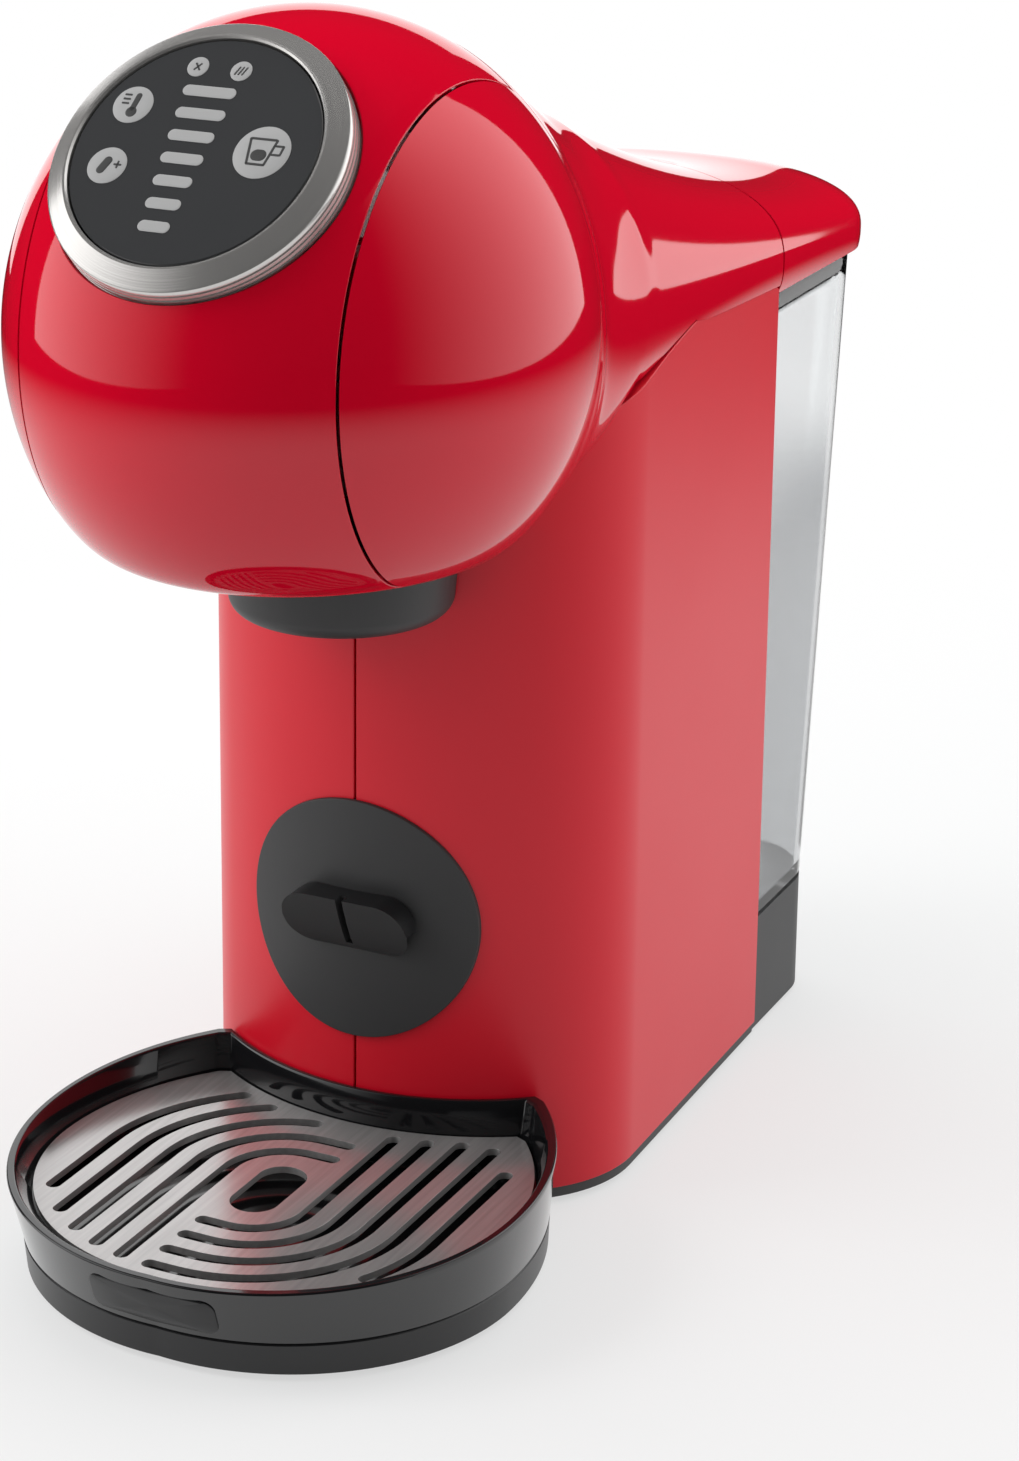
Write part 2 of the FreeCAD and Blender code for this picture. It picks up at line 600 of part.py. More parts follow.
def make_tank():
    gap = size["slide_gap"]
    wall = size["tank_wall"]
    low = size["dock_height"] + gap
    top = size["lid_base_height"]
    rear_top = REAR - size["tank_rear_inset"]
    rear_low = rear_top - size["tank_taper"]
    slope = size["tank_taper"] / (top - low)
    floor = low + size["tank_floor"]
    rear_floor = rear_low + slope * size["tank_floor"]
    outer = Part.makeLoft([tank_wire(rear_low, 0, low), tank_wire(rear_top, 0, top)], True, True)
    over = wall
    inner = Part.makeLoft([tank_wire(rear_floor, wall, floor),
                           tank_wire(rear_top + slope * over, wall, top + over)], True, True)
    valve_y = BODY_REAR + size["tank_depth"] / 3
    stem = rod(V(0, valve_y, low - size["valve_drop"]), V(0, valve_y, floor + size["tank_floor"]),
               size["valve_diameter"])
    bore = rod(V(0, valve_y, 0), V(0, valve_y, floor), size["valve_diameter"] / 2)
    feature("water_tank", outer.cut(inner).cut(rod(V(0, valve_y, 0), V(0, valve_y, floor + wall),
                                                   size["valve_diameter"] + 2 * size["pin_fit"])))
    collar = rod(V(0, valve_y, floor), V(0, valve_y, floor + size["tank_floor"]),
                 size["valve_diameter"] * 1.5)
    feature("tank_valve", stem.fuse(collar).cut(bore).removeSplitter())
    dock = upright(tank_wire(rear_low, 0, 0), size["foot_height"], size["dock_height"])
    socket = rod(V(0, valve_y, low - size["valve_drop"] - gap), V(0, valve_y, low + gap),
                 size["valve_diameter"] + 2 * gap)
    feed = rod(V(0, BODY_REAR, size["inlet_height"]), V(0, valve_y, size["inlet_height"]),
               size["hose_diameter"] + 2 * size["pin_fit"])
    feature("tank_dock", dock.cut(socket).cut(feed))
    gland = rod(V(0, rear_low, size["gland_height"]),
                V(0, rear_low + size["gland_length"], size["gland_height"]), size["gland_diameter"])
    throat = rod(V(0, rear_low + size["gland_length"] / 2, size["gland_height"]),
                 V(0, rear_low + 2 * size["gland_length"], size["gland_height"]), size["gland_diameter"] / 2)
    feature("cord_gland", gland.cut(throat))
    return rear_low, valve_y


def make_dock_feet(rear_low):
    x = size["body_rear_width"] / 2 - size["foot_inset"] - size["tank_corner"] / 2
    y = rear_low - size["foot_inset"]
    feet = [Part.makeCone(size["foot_diameter"] / 2 - size["foot_height"] / 3, size["foot_diameter"] / 2,
                          size["foot_height"], V(side * x, y, 0)) for side in (-1, 1)]
    feature("dock_feet", Part.makeCompound(feet))


# Drip tray
def tray_wire(draw_in, height, inset=0.0):
    """Tray plan: round front, sides that turn in, and a rear edge hollowed to the column's arc."""
    half = size["tray_width"] / 2 - draw_in / 2 - inset
    front = FRONT + draw_in + inset
    wide_y = COLUMN - size["tray_wide_at"]
    tail = size["tray_tail_half"] - inset
    hollow = size["column_radius"] + size["tray_column_gap"] + inset
    centre_y = COLUMN + size["column_radius"]
    tail_y = centre_y - math.sqrt(hollow ** 2 - tail ** 2)
    corner = size["grille_ledge"]
    rise = (half - tail - corner) * size["tray_side_share"]
    bow = math.radians(45)
    front_arc = (V(0, front, height),
                 V(half * math.sin(bow), wide_y - (wide_y - front) * math.cos(bow), height),
                 V(half, wide_y, height))
    side = (front_arc[2], V(half - rise, (wide_y + tail_y) / 2, height),
            V(tail + corner, tail_y - corner / 2, height))
    nose = (side[2], V(tail, tail_y, height))
    quarter = math.asin(tail / hollow) / 2
    rear = (nose[1], V(hollow * math.sin(quarter), centre_y - hollow * math.cos(quarter), height),
            V(0, centre_y - hollow, height))
    return mirrored_outline([front_arc, side, nose, rear])


def make_tray():
    foot = size["tray_foot_height"]
    base_top = foot + size["tray_base_height"]
    flare = size["tray_flare"]
    rim = 1.5 * max(size["tray_rim_rear"], size["tray_rim_front"])
    spread_out = flare * (rim - base_top) / (size["tray_rim_front"] - base_top)
    wall = size["tray_wall"]
    grille_low = size["grille_height"] - size["grille_thickness"]
    base = Part.makeLoft([tray_wire(flare * 1.2, foot), tray_wire(flare, base_top)], True, True)
    feature("drip_tray_base", base)
    outer = Part.makeLoft([tray_wire(flare, base_top), tray_wire(flare - spread_out, rim)], True, True)
    fall = (size["tray_rim_rear"] - size["tray_rim_front"]) / size["tray_reach"]
    run = size["tray_reach"]
    rim_cut = prism_x([V(0, FRONT - run, size["tray_rim_front"] - fall * run),
                       V(0, COLUMN + run, size["tray_rim_rear"] + fall * run),
                       V(0, COLUMN + run, TALL), V(0, FRONT - run, TALL)], FAR)
    room = tray_wire(flare, 0, wall)
    ledge = tray_wire(flare, 0, wall + size["grille_ledge"])
    cavity = upright(room, grille_low, TALL).fuse(upright(ledge, base_top + size["tray_floor"], grille_low))
    bowl = outer.cut(cavity).cut(rim_cut)
    feature("drip_tray_bowl", bowl)
    foot_y = COLUMN - size["tray_wide_at"]
    spread = size["tray_width"] / 3
    places = [V(-spread, foot_y, 0), V(spread, foot_y, 0),
              V(0, FRONT + size["tray_wide_at"] / 2, 0), V(0, COLUMN - size["tray_wide_at"] / 3, 0)]
    feet = [Part.makeCylinder(size["tray_foot_diameter"] / 2, foot, p) for p in places]
    feature("tray_feet", Part.makeCompound(feet))


def slot_wire(spine, width):
    """Round-ended slot of one width along a spine of lines and arcs."""
    curved = any(not isinstance(edge.Curve, Part.Line) for edge in spine.Edges)
    if curved:
        return spine.makeOffset2D(width / 2)
    low, high = spine.OrderedVertexes[0].Point, spine.OrderedVertexes[-1].Point
    along = (high - low).normalize() * (width / 2)
    aside = V(-along.y, along.x, 0)
    edges = [Part.makeLine(low + aside, high + aside),
             Part.Arc(high + aside, high + along, high - aside).toShape(),
             Part.makeLine(high - aside, low - aside),
             Part.Arc(low - aside, low - along, low + aside).toShape()]
    return Part.Wire(edges)


def make_grille():
    """Plate with an eye and two families of bent slots that turn about it like a pinwheel."""
    wall = size["tray_wall"] + size["grille_gap"]
    outline = tray_wire(size["tray_flare"], 0, wall)
    body = new_body("drip_grille")
    low = "sizes.grille_height - sizes.grille_thickness"
    pad(body, sketch(body, "XY_Plane", [outline], low), "sizes.grille_thickness")
    edge = Part.Face(tray_wire(size["tray_flare"], 0, wall + size["grille_border"]))
    eye = V(0, COLUMN - size["grille_eye_ahead"], 0)
    radius = size["eye_radius"]
    half_length = size["eye_half_length"]
    hole = Part.Wire(Part.makeLine(eye - V(0, half_length, 0), eye + V(0, half_length, 0)))
    slots = [slot_wire(hole, 2 * radius)]
    diagonal = math.sqrt(0.5)
    count = int((size["tray_width"] / 2 - wall - size["grille_border"] - radius) / size["slot_pitch"])
    for turn in (1, -1):
        for number in range(1, count + 1):
            reach = radius + number * size["slot_pitch"]
            bend = eye - V(0, half_length, 0) * turn
            points = [bend + V(-radius, -reach, 0) * turn, bend + V(0, -reach, 0) * turn,
                      bend + V(reach * diagonal, -reach * diagonal, 0) * turn, bend + V(reach, 0, 0) * turn,
                      bend + V(reach, 2 * size["tray_width"], 0) * turn]
            spine = Part.Wire([Part.makeLine(points[0], points[1]),
                               Part.Arc(points[1], points[2], points[3]).toShape(),
                               Part.makeLine(points[3], points[4])])
            kept = spine.common(edge)
            if kept.Length < 3 * size["slot_width"]:
                continue
            runs = [Part.Wire(group) for group in Part.sortEdges(kept.Edges)]
            longest = max(runs, key=lambda run: run.Length)
            slots.append(slot_wire(longest, size["slot_width"]))
    pocket_through(body, sketch(body, "XY_Plane", slots, low))


# Working parts inside the column
def make_chassis():
    half = size["chassis_width"] / 2
    low = V(-half, CHASSIS_Y, SHELL_BOTTOM)
    plate = slab(low, V(half, CHASSIS_Y + size["chassis_thickness"], size["chassis_top"]))
    hose = rod(V(0, CHASSIS_Y - size["chassis_thickness"], size["inlet_height"]),
               V(0, CHASSIS_Y + 2 * size["chassis_thickness"], size["inlet_height"]),
               size["hose_diameter"] + 2 * size["slide_gap"])
    shape = plate.cut(hose)
    back = CHASSIS_Y + size["chassis_thickness"]
    for x, z in board_corners():
        shape = shape.fuse(rod(V(x, back, z), V(x, back + size["standoff_height"], z), size["standoff_diameter"]))
    feature("inner_chassis", shape.removeSplitter())


def board_corners():
    margin = size["standoff_diameter"]
    half = size["board_width"] / 2 - margin
    low = size["board_bottom"] + margin
    high = size["board_bottom"] + size["board_height"] - margin
    return [(x, z) for x in (-half, half) for z in (low, high)]


def make_unit(label, bottom, length, diameter):
    """Upright cylinder on a bracket that stands against the chassis."""
    drum = rod(V(0, UNIT_Y, bottom), V(0, UNIT_Y, bottom + length), diameter)
    half = size["bracket_width"] / 2
    arm = slab(V(-half, UNIT_Y, bottom + length / 4), V(half, CHASSIS_Y, bottom + length * 3 / 4))
    feature(label, drum.fuse(arm).removeSplitter())


def make_inside(valve_y):
    make_unit("water_pump", size["pump_bottom"], size["pump_length"], size["pump_diameter"])
    make_unit("water_heater", size["heater_bottom"], size["heater_length"], size["heater_diameter"])
    hose = size["hose_diameter"]
    pump_top = size["pump_bottom"] + size["pump_length"]
    feature("pressure_hose", rod(V(0, UNIT_Y, pump_top), V(0, UNIT_Y, size["heater_bottom"]), hose))
    inlet = size["inlet_height"]
    feature("inlet_hose", rod(V(0, UNIT_Y + size["pump_diameter"] / 2 - hose / 4, inlet),
                              V(0, valve_y - size["valve_diameter"], inlet), hose)
            .cut(PARTS["water_pump"].Shape))
    heater_top = size["heater_bottom"] + size["heater_length"]
    brew_rear = HEAD.y + size["holder_diameter"] / 2
    level = size["head_floor"] + size["chin_plate"] + size["holder_height"] + size["brew_height"] * 0.6
    bend = min(size["hose_bend"], 0.8 * (level - heater_top))
    start = V(0, UNIT_Y, heater_top)
    up = V(0, UNIT_Y, level - bend)
    across = V(0, UNIT_Y - bend, level)
    corner = V(0, UNIT_Y - bend + bend * math.sqrt(0.5), level - bend + bend * math.sqrt(0.5))
    end = V(0, brew_rear - hose / 4, level)
    path = Part.Wire([Part.makeLine(start, up), Part.Arc(up, corner, across).toShape(),
                      Part.makeLine(across, end)])
    section = Part.Wire(Part.makeCircle(hose / 2, start, V(0, 0, 1)))
    tube = path.makePipeShell([section], True, False)
    feature("outlet_hose", tube.cut(PARTS["brew_head"].Shape))
    board = doc.addObject("Part::Box", "circuit_board")
    board.setExpression("Length", "sizes.board_width")
    board.setExpression("Width", "sizes.board_thickness")
    board.setExpression("Height", "sizes.board_height")
    board_y = CHASSIS_Y + size["chassis_thickness"] + size["standoff_height"]
    board.Placement.Base = V(-size["board_width"] / 2, board_y, size["board_bottom"])
    PARTS["circuit_board"] = board


make_shells()
make_base()
make_hanger()
make_head_cover()
make_head_cheeks()
make_tank_lid()
make_visor()
make_hinge_pin()
make_dial()
make_chin()
make_brewing_parts()
rear_low, valve_y = make_tank()
make_dock_feet(rear_low)
make_tray()
make_grille()
make_chassis()
doc.recompute()
make_inside(valve_y)
doc.recompute()

# Every object must have worked before anything is written
for item in doc.Objects:
    if "Invalid" in item.State or "Error" in item.State:
        raise RuntimeError("%s failed: %s" % (item.Label, item.State))
for label, item in PARTS.items():
    if item.Shape.isNull() or not item.Shape.isValid() or not item.Shape.Solids:
        raise RuntimeError("%s has no valid solid" % label)
os.makedirs("parts", exist_ok=True)
for label, item in PARTS.items():
    item.Shape.exportStep("parts/%s.step" % label)
    box = item.Shape.BoundBox
    print("%-18s solids %d volume %9.0f  x %.1f..%.1f  y %.1f..%.1f  z %.1f..%.1f" % (
        label, len(item.Shape.Solids), item.Shape.Volume, box.XMin, box.XMax, box.YMin, box.YMax,
        box.ZMin, box.ZMax))
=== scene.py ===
"""Looks of a pod coffee machine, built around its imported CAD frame."""
import math

import bmesh
import bpy
import numpy as np
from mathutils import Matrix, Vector


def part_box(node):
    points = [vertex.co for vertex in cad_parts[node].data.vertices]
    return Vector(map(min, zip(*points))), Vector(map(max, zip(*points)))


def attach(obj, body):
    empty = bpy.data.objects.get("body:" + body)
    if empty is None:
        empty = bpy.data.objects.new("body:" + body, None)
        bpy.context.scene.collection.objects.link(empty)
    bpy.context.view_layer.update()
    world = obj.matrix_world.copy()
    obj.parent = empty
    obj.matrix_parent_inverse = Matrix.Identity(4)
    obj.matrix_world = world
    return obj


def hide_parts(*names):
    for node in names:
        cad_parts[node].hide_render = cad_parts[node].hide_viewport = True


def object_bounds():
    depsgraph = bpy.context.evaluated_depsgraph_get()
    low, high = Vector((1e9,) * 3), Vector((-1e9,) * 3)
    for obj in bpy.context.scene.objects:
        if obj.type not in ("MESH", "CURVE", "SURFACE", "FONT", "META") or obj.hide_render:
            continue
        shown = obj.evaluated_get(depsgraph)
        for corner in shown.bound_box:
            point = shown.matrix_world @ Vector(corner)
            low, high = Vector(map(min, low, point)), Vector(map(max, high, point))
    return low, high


bl_info = {
    "name": "Pod coffee machine",
    "version": (1, 0, 0),
    "blender": (4, 5, 0),
    "location": "View3D > Sidebar > Coffee",
    "description": "Dresses the packed pod coffee machine and sets up its studio",
    "category": "Object",
}

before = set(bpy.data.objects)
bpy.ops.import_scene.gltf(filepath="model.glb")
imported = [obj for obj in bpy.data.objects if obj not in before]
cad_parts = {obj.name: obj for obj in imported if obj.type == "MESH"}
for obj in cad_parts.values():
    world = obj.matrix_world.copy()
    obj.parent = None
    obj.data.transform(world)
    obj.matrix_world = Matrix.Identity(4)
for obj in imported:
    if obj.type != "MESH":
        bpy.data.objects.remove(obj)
CAD_LOW, CAD_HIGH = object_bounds()
MM = 0.001


def box_mm(node):
    low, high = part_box(node)
    return np.array(low) / MM, np.array(high) / MM


# Places read from the frame, in millimetres
FRONT = box_mm("drip_tray_bowl")[0][1]
COLUMN = box_mm("body_shell_right")[0][1]
BODY_REAR = box_mm("body_shell_right")[1][1]
SHELL_BOTTOM = box_mm("body_shell_right")[0][2]
LID_FRONT = box_mm("tank_lid")[0][1]
LID_BASE = box_mm("tank_lid")[0][2]
REAR = box_mm("tank_lid")[1][1]
HEAD_HALF = box_mm("head_cheek_right")[1][0]
HEAD_FRONT, HEAD_TOP = box_mm("visor")[0][1], box_mm("visor")[1][2]
VISOR_HALF = box_mm("visor")[1][0]
CHEEK_EDGE = box_mm("head_cheek_right")[0][0]
JOIN = box_mm("head_cheek_right")[1][1]
HEAD_FLOOR = box_mm("visor")[0][2]
TANK_LOW, TANK_TOP = box_mm("water_tank")[0][2], box_mm("water_tank")[1][2]
TANK_FRONT = box_mm("water_tank")[0][1]
TRAY_LOW = box_mm("drip_tray_bowl")[0][2]
GRILLE_TOP = box_mm("drip_grille")[1][2]

# Form values of the pieces, in millimetres, degrees and plain shares
HEAD_RADIUS = 65.8
HEAD_Y, HEAD_Z = HEAD_FRONT + HEAD_RADIUS, HEAD_TOP - HEAD_RADIUS
VISOR_HIGH, DIAL_PITCH = 114.5, 45.0
DIAL_FACE, DIAL_SEAT, DIAL_HOLE = 62.6, 54.0, 32.0
BODY_HALF, BODY_REAR_HALF, COLUMN_ARC, ARC_HALF = 51.0, 48.0, 64.0, 38.0
BODY_TAPER = (BODY_HALF - BODY_REAR_HALF) / (BODY_REAR - COLUMN)
NECK_HEIGHT, LID_REAR_Z, LID_CORNER, NECK_BLEND, NECK_SOFT = 266.0, 207.0, 20.0, 40.0, 5.0
NECK_PROUD, NECK_FALL, NECK_SQUARE, CORNER_SIDE, CORNER_TOP = 0.8, 1.7, 0.2, 0.8, 0.2
WAIST_LOW, WAIST_BOW = 192.0, 4.0
FLOOR_SOFT, FLOOR_SINK, LIP_DROP, REAR_GAP = 5.0, 1.0, 9.0, 1.25
TRAY_HALF, TRAY_TAIL, TRAY_NOSE, TRAY_FLARE, TRAY_GAP, SIDE_BOW = 59.0, 39.0, 2.6, 5.0, 0.4, 0.2
TRAY_WIDE_Y, TRAY_MIDDLE_Y = COLUMN - 38.0, COLUMN - 44.0
RIM_FRONT, RIM_RISE = 22.5, 4.5
TANK_CORNER, TANK_GAP = 18.0, 1.0
ARC_POINTS = 48
CLOSED = 0.001


# User settings
class MachineSizes(bpy.types.PropertyGroup):
    wall: bpy.props.FloatProperty(
        name="Skin wall", description="Thickness of the moulded skins", default=2.4 * MM, unit="LENGTH")
    thin_wall: bpy.props.FloatProperty(
        name="Cover wall", description="Wall of the head's cover, thin so that the visor swings clear",
        default=0.5 * MM, unit="LENGTH")
    edge: bpy.props.FloatProperty(
        name="Edge round", description="Rounding of moulded edges", default=0.45 * MM, unit="LENGTH")
    seam: bpy.props.FloatProperty(
        name="Seam", description="Gap between neighbouring skins", default=0.5 * MM, unit="LENGTH")
    bars: bpy.props.IntProperty(
        name="Level bars", description="Bars of the drink size scale on the dial", default=7, min=1)
    ribs: bpy.props.IntProperty(
        name="Ring grooves", description="Grip grooves round the dial ring", default=4, min=0)


class MachineColours(bpy.types.PropertyGroup):
    gloss_red: bpy.props.FloatVectorProperty(
        name="Gloss red", description="Head, visor and lid", subtype="COLOR", min=0, max=1,
        default=(0.60, 0.001, 0.018))
    matt_red: bpy.props.FloatVectorProperty(
        name="Satin red", description="Column", subtype="COLOR", min=0, max=1, default=(0.63, 0.004, 0.018))
    dark_grey: bpy.props.FloatVectorProperty(
        name="Dark grey", description="Disc, hook, chin and dock", subtype="COLOR", min=0, max=1,
        default=(0.036, 0.036, 0.037))
    black: bpy.props.FloatVectorProperty(
        name="Gloss black", description="Drip tray", subtype="COLOR", min=0, max=1,
        default=(0.008, 0.008, 0.009))
    ring_metal: bpy.props.FloatVectorProperty(
        name="Ring metal", description="Dial ring", subtype="COLOR", min=0, max=1, default=(0.72, 0.70, 0.68))
    grille_metal: bpy.props.FloatVectorProperty(
        name="Grille metal", description="Drip grille", subtype="COLOR", min=0, max=1,
        default=(0.52, 0.51, 0.505))
    symbol_grey: bpy.props.FloatVectorProperty(
        name="Symbol grey", description="Printed marks on the dial", subtype="COLOR", min=0, max=1,
        default=(0.36, 0.36, 0.36))


def colours():
    return bpy.context.scene.machine_colours


def sizes():
    return bpy.context.scene.machine_sizes


def seam():
    """Gap between neighbouring skins, in millimetres."""
    return sizes().seam / MM


# Mesh helpers
def grid_faces(rows, cols, start):
    """Quads of a grid of rows by cols points, numbered from start."""
    first = start + np.arange(rows - 1)[:, None] * cols + np.arange(cols - 1)[None, :]
    return np.stack([first, first + 1, first + cols + 1, first + cols], -1).reshape(-1, 4)


def piece(name, grids, material, body, stands_for=(), wall=0.0, edge=0.0, sharp=38.0,
          turn_out=True):
    """Object from point grids in millimetres: merged, turned outwards, then thickened and rounded."""
    points, faces, flat, count = [], [], [], 0
    for grid in grids:
        rows, cols = grid.shape[:2]
        points.append(grid.reshape(-1, 3))
        faces.append(grid_faces(rows, cols, count))
        u, v = np.meshgrid(np.linspace(0, 1, cols), np.linspace(0, 1, rows))
        flat.append(np.stack([u, v], -1).reshape(-1, 2))
        count += rows * cols
    points, faces, flat = np.concatenate(points) * MM, np.concatenate(faces), np.concatenate(flat)
    mesh = bpy.data.meshes.new(name)
    mesh.from_pydata(points.tolist(), [], faces.tolist())
    layer = mesh.uv_layers.new(name="run")
    corner = np.empty(len(mesh.loops), dtype=np.int32)
    mesh.loops.foreach_get("vertex_index", corner)
    layer.data.foreach_set("uv", flat[corner].astype(np.float32).ravel())
    work = bmesh.new()
    work.from_mesh(mesh)
    bmesh.ops.remove_doubles(work, verts=work.verts, dist=2e-6)
    bmesh.ops.dissolve_degenerate(work, edges=work.edges, dist=1e-7)
    if turn_out:
        bmesh.ops.recalc_face_normals(work, faces=work.faces)
    work.to_mesh(mesh)
    work.free()
    if turn_out:
        face_outwards(mesh)
    return finish_piece(name, mesh, material, body, stands_for, wall, edge, sharp)


def face_outwards(mesh):
    """Flip an open skin whose faces, weighed by area, look towards its own middle."""
    count = len(mesh.polygons)
    normal, centre, area = np.empty(count * 3), np.empty(count * 3), np.empty(count)
    mesh.polygons.foreach_get("normal", normal)
    mesh.polygons.foreach_get("center", centre)
    mesh.polygons.foreach_get("area", area)
    normal, centre = normal.reshape(-1, 3), centre.reshape(-1, 3)
    middle = (centre * area[:, None]).sum(0) / area.sum()
    if ((normal * (centre - middle)).sum(1) * area).sum() < 0:
        mesh.flip_normals()


def finish_piece(name, mesh, material, body, stands_for, wall, edge, sharp):
    mesh.shade_smooth()
    mesh.set_sharp_from_angle(angle=math.radians(sharp))
    mesh.materials.append(material)
    obj = bpy.data.objects.new(name, mesh)
    bpy.context.scene.collection.objects.link(obj)
    if wall:
        solid = obj.modifiers.new("wall", "SOLIDIFY")
        solid.thickness = wall
        solid.offset = -1.0
        solid.use_even_offset = False
    if edge:
        bevel = obj.modifiers.new("edge", "BEVEL")
        bevel.width = edge
        bevel.segments = 2
        bevel.limit_method = "ANGLE"
        bevel.angle_limit = math.radians(40)
        bevel.harden_normals = True
        bevel.use_clamp_overlap = True
    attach(obj, body)
    if stands_for:
        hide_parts(*stands_for)
    return obj


def refined(node, name, material, body, edge, sharp=32.0):
    """A CAD node's own form with its triangles merged into clean faces and its edges rounded."""
    work = bmesh.new()
    work.from_mesh(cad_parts[node].data)
    bmesh.ops.remove_doubles(work, verts=work.verts, dist=2e-6)
    bmesh.ops.dissolve_limit(work, angle_limit=math.radians(0.5), verts=work.verts, edges=work.edges)
    mesh = bpy.data.meshes.new(name)
    work.to_mesh(mesh)
    work.free()
    return finish_piece(name, mesh, material, body, (node,), 0.0, edge, sharp)


def mirrored(grids):
    """The same grids on the other side of X = 0."""
    return [grid[:, ::-1] * np.array([-1.0, 1.0, 1.0]) for grid in grids]


def arc_through(first, middle, last, count):
    """Points of the circle through three plan points, evenly along its arc."""
    (ax, ay), (bx, by), (cx, cy) = first, middle, last
    d = 2 * (ax * (by - cy) + bx * (cy - ay) + cx * (ay - by))
    if abs(d) < 1e-9:
        return np.linspace(first, last, count)
    a2, b2, c2 = ax * ax + ay * ay, bx * bx + by * by, cx * cx + cy * cy
    centre = np.array([(a2 * (by - cy) + b2 * (cy - ay) + c2 * (ay - by)) / d,
                       (a2 * (cx - bx) + b2 * (ax - cx) + c2 * (bx - ax)) / d])
    turn = [math.atan2(p[1] - centre[1], p[0] - centre[0]) for p in (first, middle, last)]
    sweep = (turn[2] - turn[0]) % (2 * math.pi)
    if (turn[1] - turn[0]) % (2 * math.pi) > sweep:
        sweep -= 2 * math.pi
    angle = turn[0] + sweep * np.linspace(0, 1, count)
    radius = math.hypot(ax - centre[0], ay - centre[1])
    return centre + radius * np.stack([np.cos(angle), np.sin(angle)], -1)


def lathe(profile, steps=160):
    """Profile of (radius, height) pairs turned about the third axis."""
    profile = np.asarray(profile, float)
    angle = np.linspace(0, 2 * math.pi, steps + 1)
    radius = profile[:, 0][:, None]
    height = np.repeat(profile[:, 1][:, None], steps + 1, 1)
    return np.stack([radius * np.cos(angle), radius * np.sin(angle), height], -1)


def on_dial(local):
    """Dial frame (across, up the face, along its axis) to the machine's frame."""
    pitch = math.radians(DIAL_PITCH)
    up = np.array([0.0, math.sin(pitch), math.cos(pitch)])
    out = np.array([0.0, -math.cos(pitch), math.sin(pitch)])
    base = np.array([0.0, HEAD_Y, HEAD_Z])
    return base + local[..., 0:1] * np.array([1.0, 0, 0]) + local[..., 1:2] * up + local[..., 2:3] * out


def smooth_max(first, second, softness):
    return (first + second + np.hypot(first - second, softness)) / 2


def between(start, end, shares):
    """Loops at the given shares of the way from one loop or point to another."""
    return [start + (end - start) * share for share in shares]


def closed_loop(right, height):
    """Right half of a plan with its mirror image, all at one height."""
    loop = np.concatenate([right, right[::-1][1:] * np.array([-1.0, 1.0])])
    return np.concatenate([loop, np.full((len(loop), 1), height)], -1)


# Head and neck forms
def section_at(y):
    """Half width, crown, waist height, drop below the waist and squareness of the section at each depth.

    Ahead of the join plane it is the head's own ellipse; behind, it eases into the arched neck.
    """
    absent = -1e3
    place = np.maximum(y - JOIN, 0.0)
    reach = REAR - JOIN
    ahead = np.clip((y - HEAD_Y) / HEAD_RADIUS, -1.0, 1.0)
    past = np.maximum(y - HEAD_Y - HEAD_RADIUS, 0.0)
    shrink = np.sqrt(1 - ahead ** 2)
    blend = np.minimum(1.0, place / NECK_BLEND)
    share = place / reach
    into = np.maximum(0.0, place - (reach - LID_CORNER)) / LID_CORNER
    rounding = LID_CORNER * (1 - np.sqrt(np.maximum(0.0, 1 - into ** 2)))
    neck_half = BODY_HALF + NECK_PROUD - BODY_TAPER * place - CORNER_SIDE * rounding
    arch = (NECK_HEIGHT - LID_REAR_Z) * (1 - share) ** NECK_FALL
    neck_crown = LID_REAR_Z + arch - CORNER_TOP * rounding
    neck_half = np.where(place > 0, neck_half, absent)
    neck_crown = np.where(place > 0, neck_crown, absent)
    half = smooth_max(HEAD_HALF * shrink, neck_half, NECK_SOFT * blend)
    crown = smooth_max(HEAD_Z + HEAD_RADIUS * shrink - past, neck_crown, NECK_SOFT * blend)
    neck_waist = WAIST_LOW + 4 * WAIST_BOW * share * (1 - share)
    waist = neck_waist + (HEAD_Z - neck_waist) * (1 - blend) ** 2
    drop = np.maximum(waist - HEAD_Z + HEAD_RADIUS * shrink, LID_CORNER)
    return half, crown, waist, drop, 1 - NECK_SQUARE * blend


def over_floor(z):
    """Heights eased on to the head's flat underside, so that its lower edge is round."""
    return smooth_max(z, HEAD_FLOOR - FLOOR_SINK, FLOOR_SOFT)


def skin_point(y, turn):
    """Point of the head and neck skin at a depth and a turn round the section from its right side."""
    half, crown, waist, drop, lean = section_at(y)
    c, s = np.cos(turn), np.sin(turn)
    x = half * np.sign(c) * np.abs(c) ** lean
    tall = np.where(s > 0, crown - waist, drop)
    z = waist + tall * np.sign(s) * np.abs(s) ** lean
    return np.stack([x, y, over_floor(z)], -1)


def turn_at_x(y, x):
    """Upper turn at which the section passes a given distance from the middle plane."""
    half, crown, waist, drop, lean = section_at(y)
    return np.arccos(np.clip(x / half, 0, 1) ** (1 / lean))


def turn_at_z(y, z):
    """Turn on the right side at which the section passes a given height."""
    half, crown, waist, drop, lean = section_at(y)
    over = z - waist
    share = np.where(over > 0, over / (crown - waist), over / drop)
    return np.sign(share) * np.arcsin(np.clip(np.abs(share), 0, 1) ** (1 / lean))


def seam_height(y):
    """Side view curve between the gloss cover and the satin column: one smooth polynomial."""
    span = BODY_REAR - COLUMN
    share = np.array([-0.2, 0.0, 0.3, 0.58, 1.0])
    height = np.array([160.5, 174.0, 187.5, 195.5, 190.5])
    return np.polyval(np.polyfit(share, height, 4), (y - COLUMN) / span)


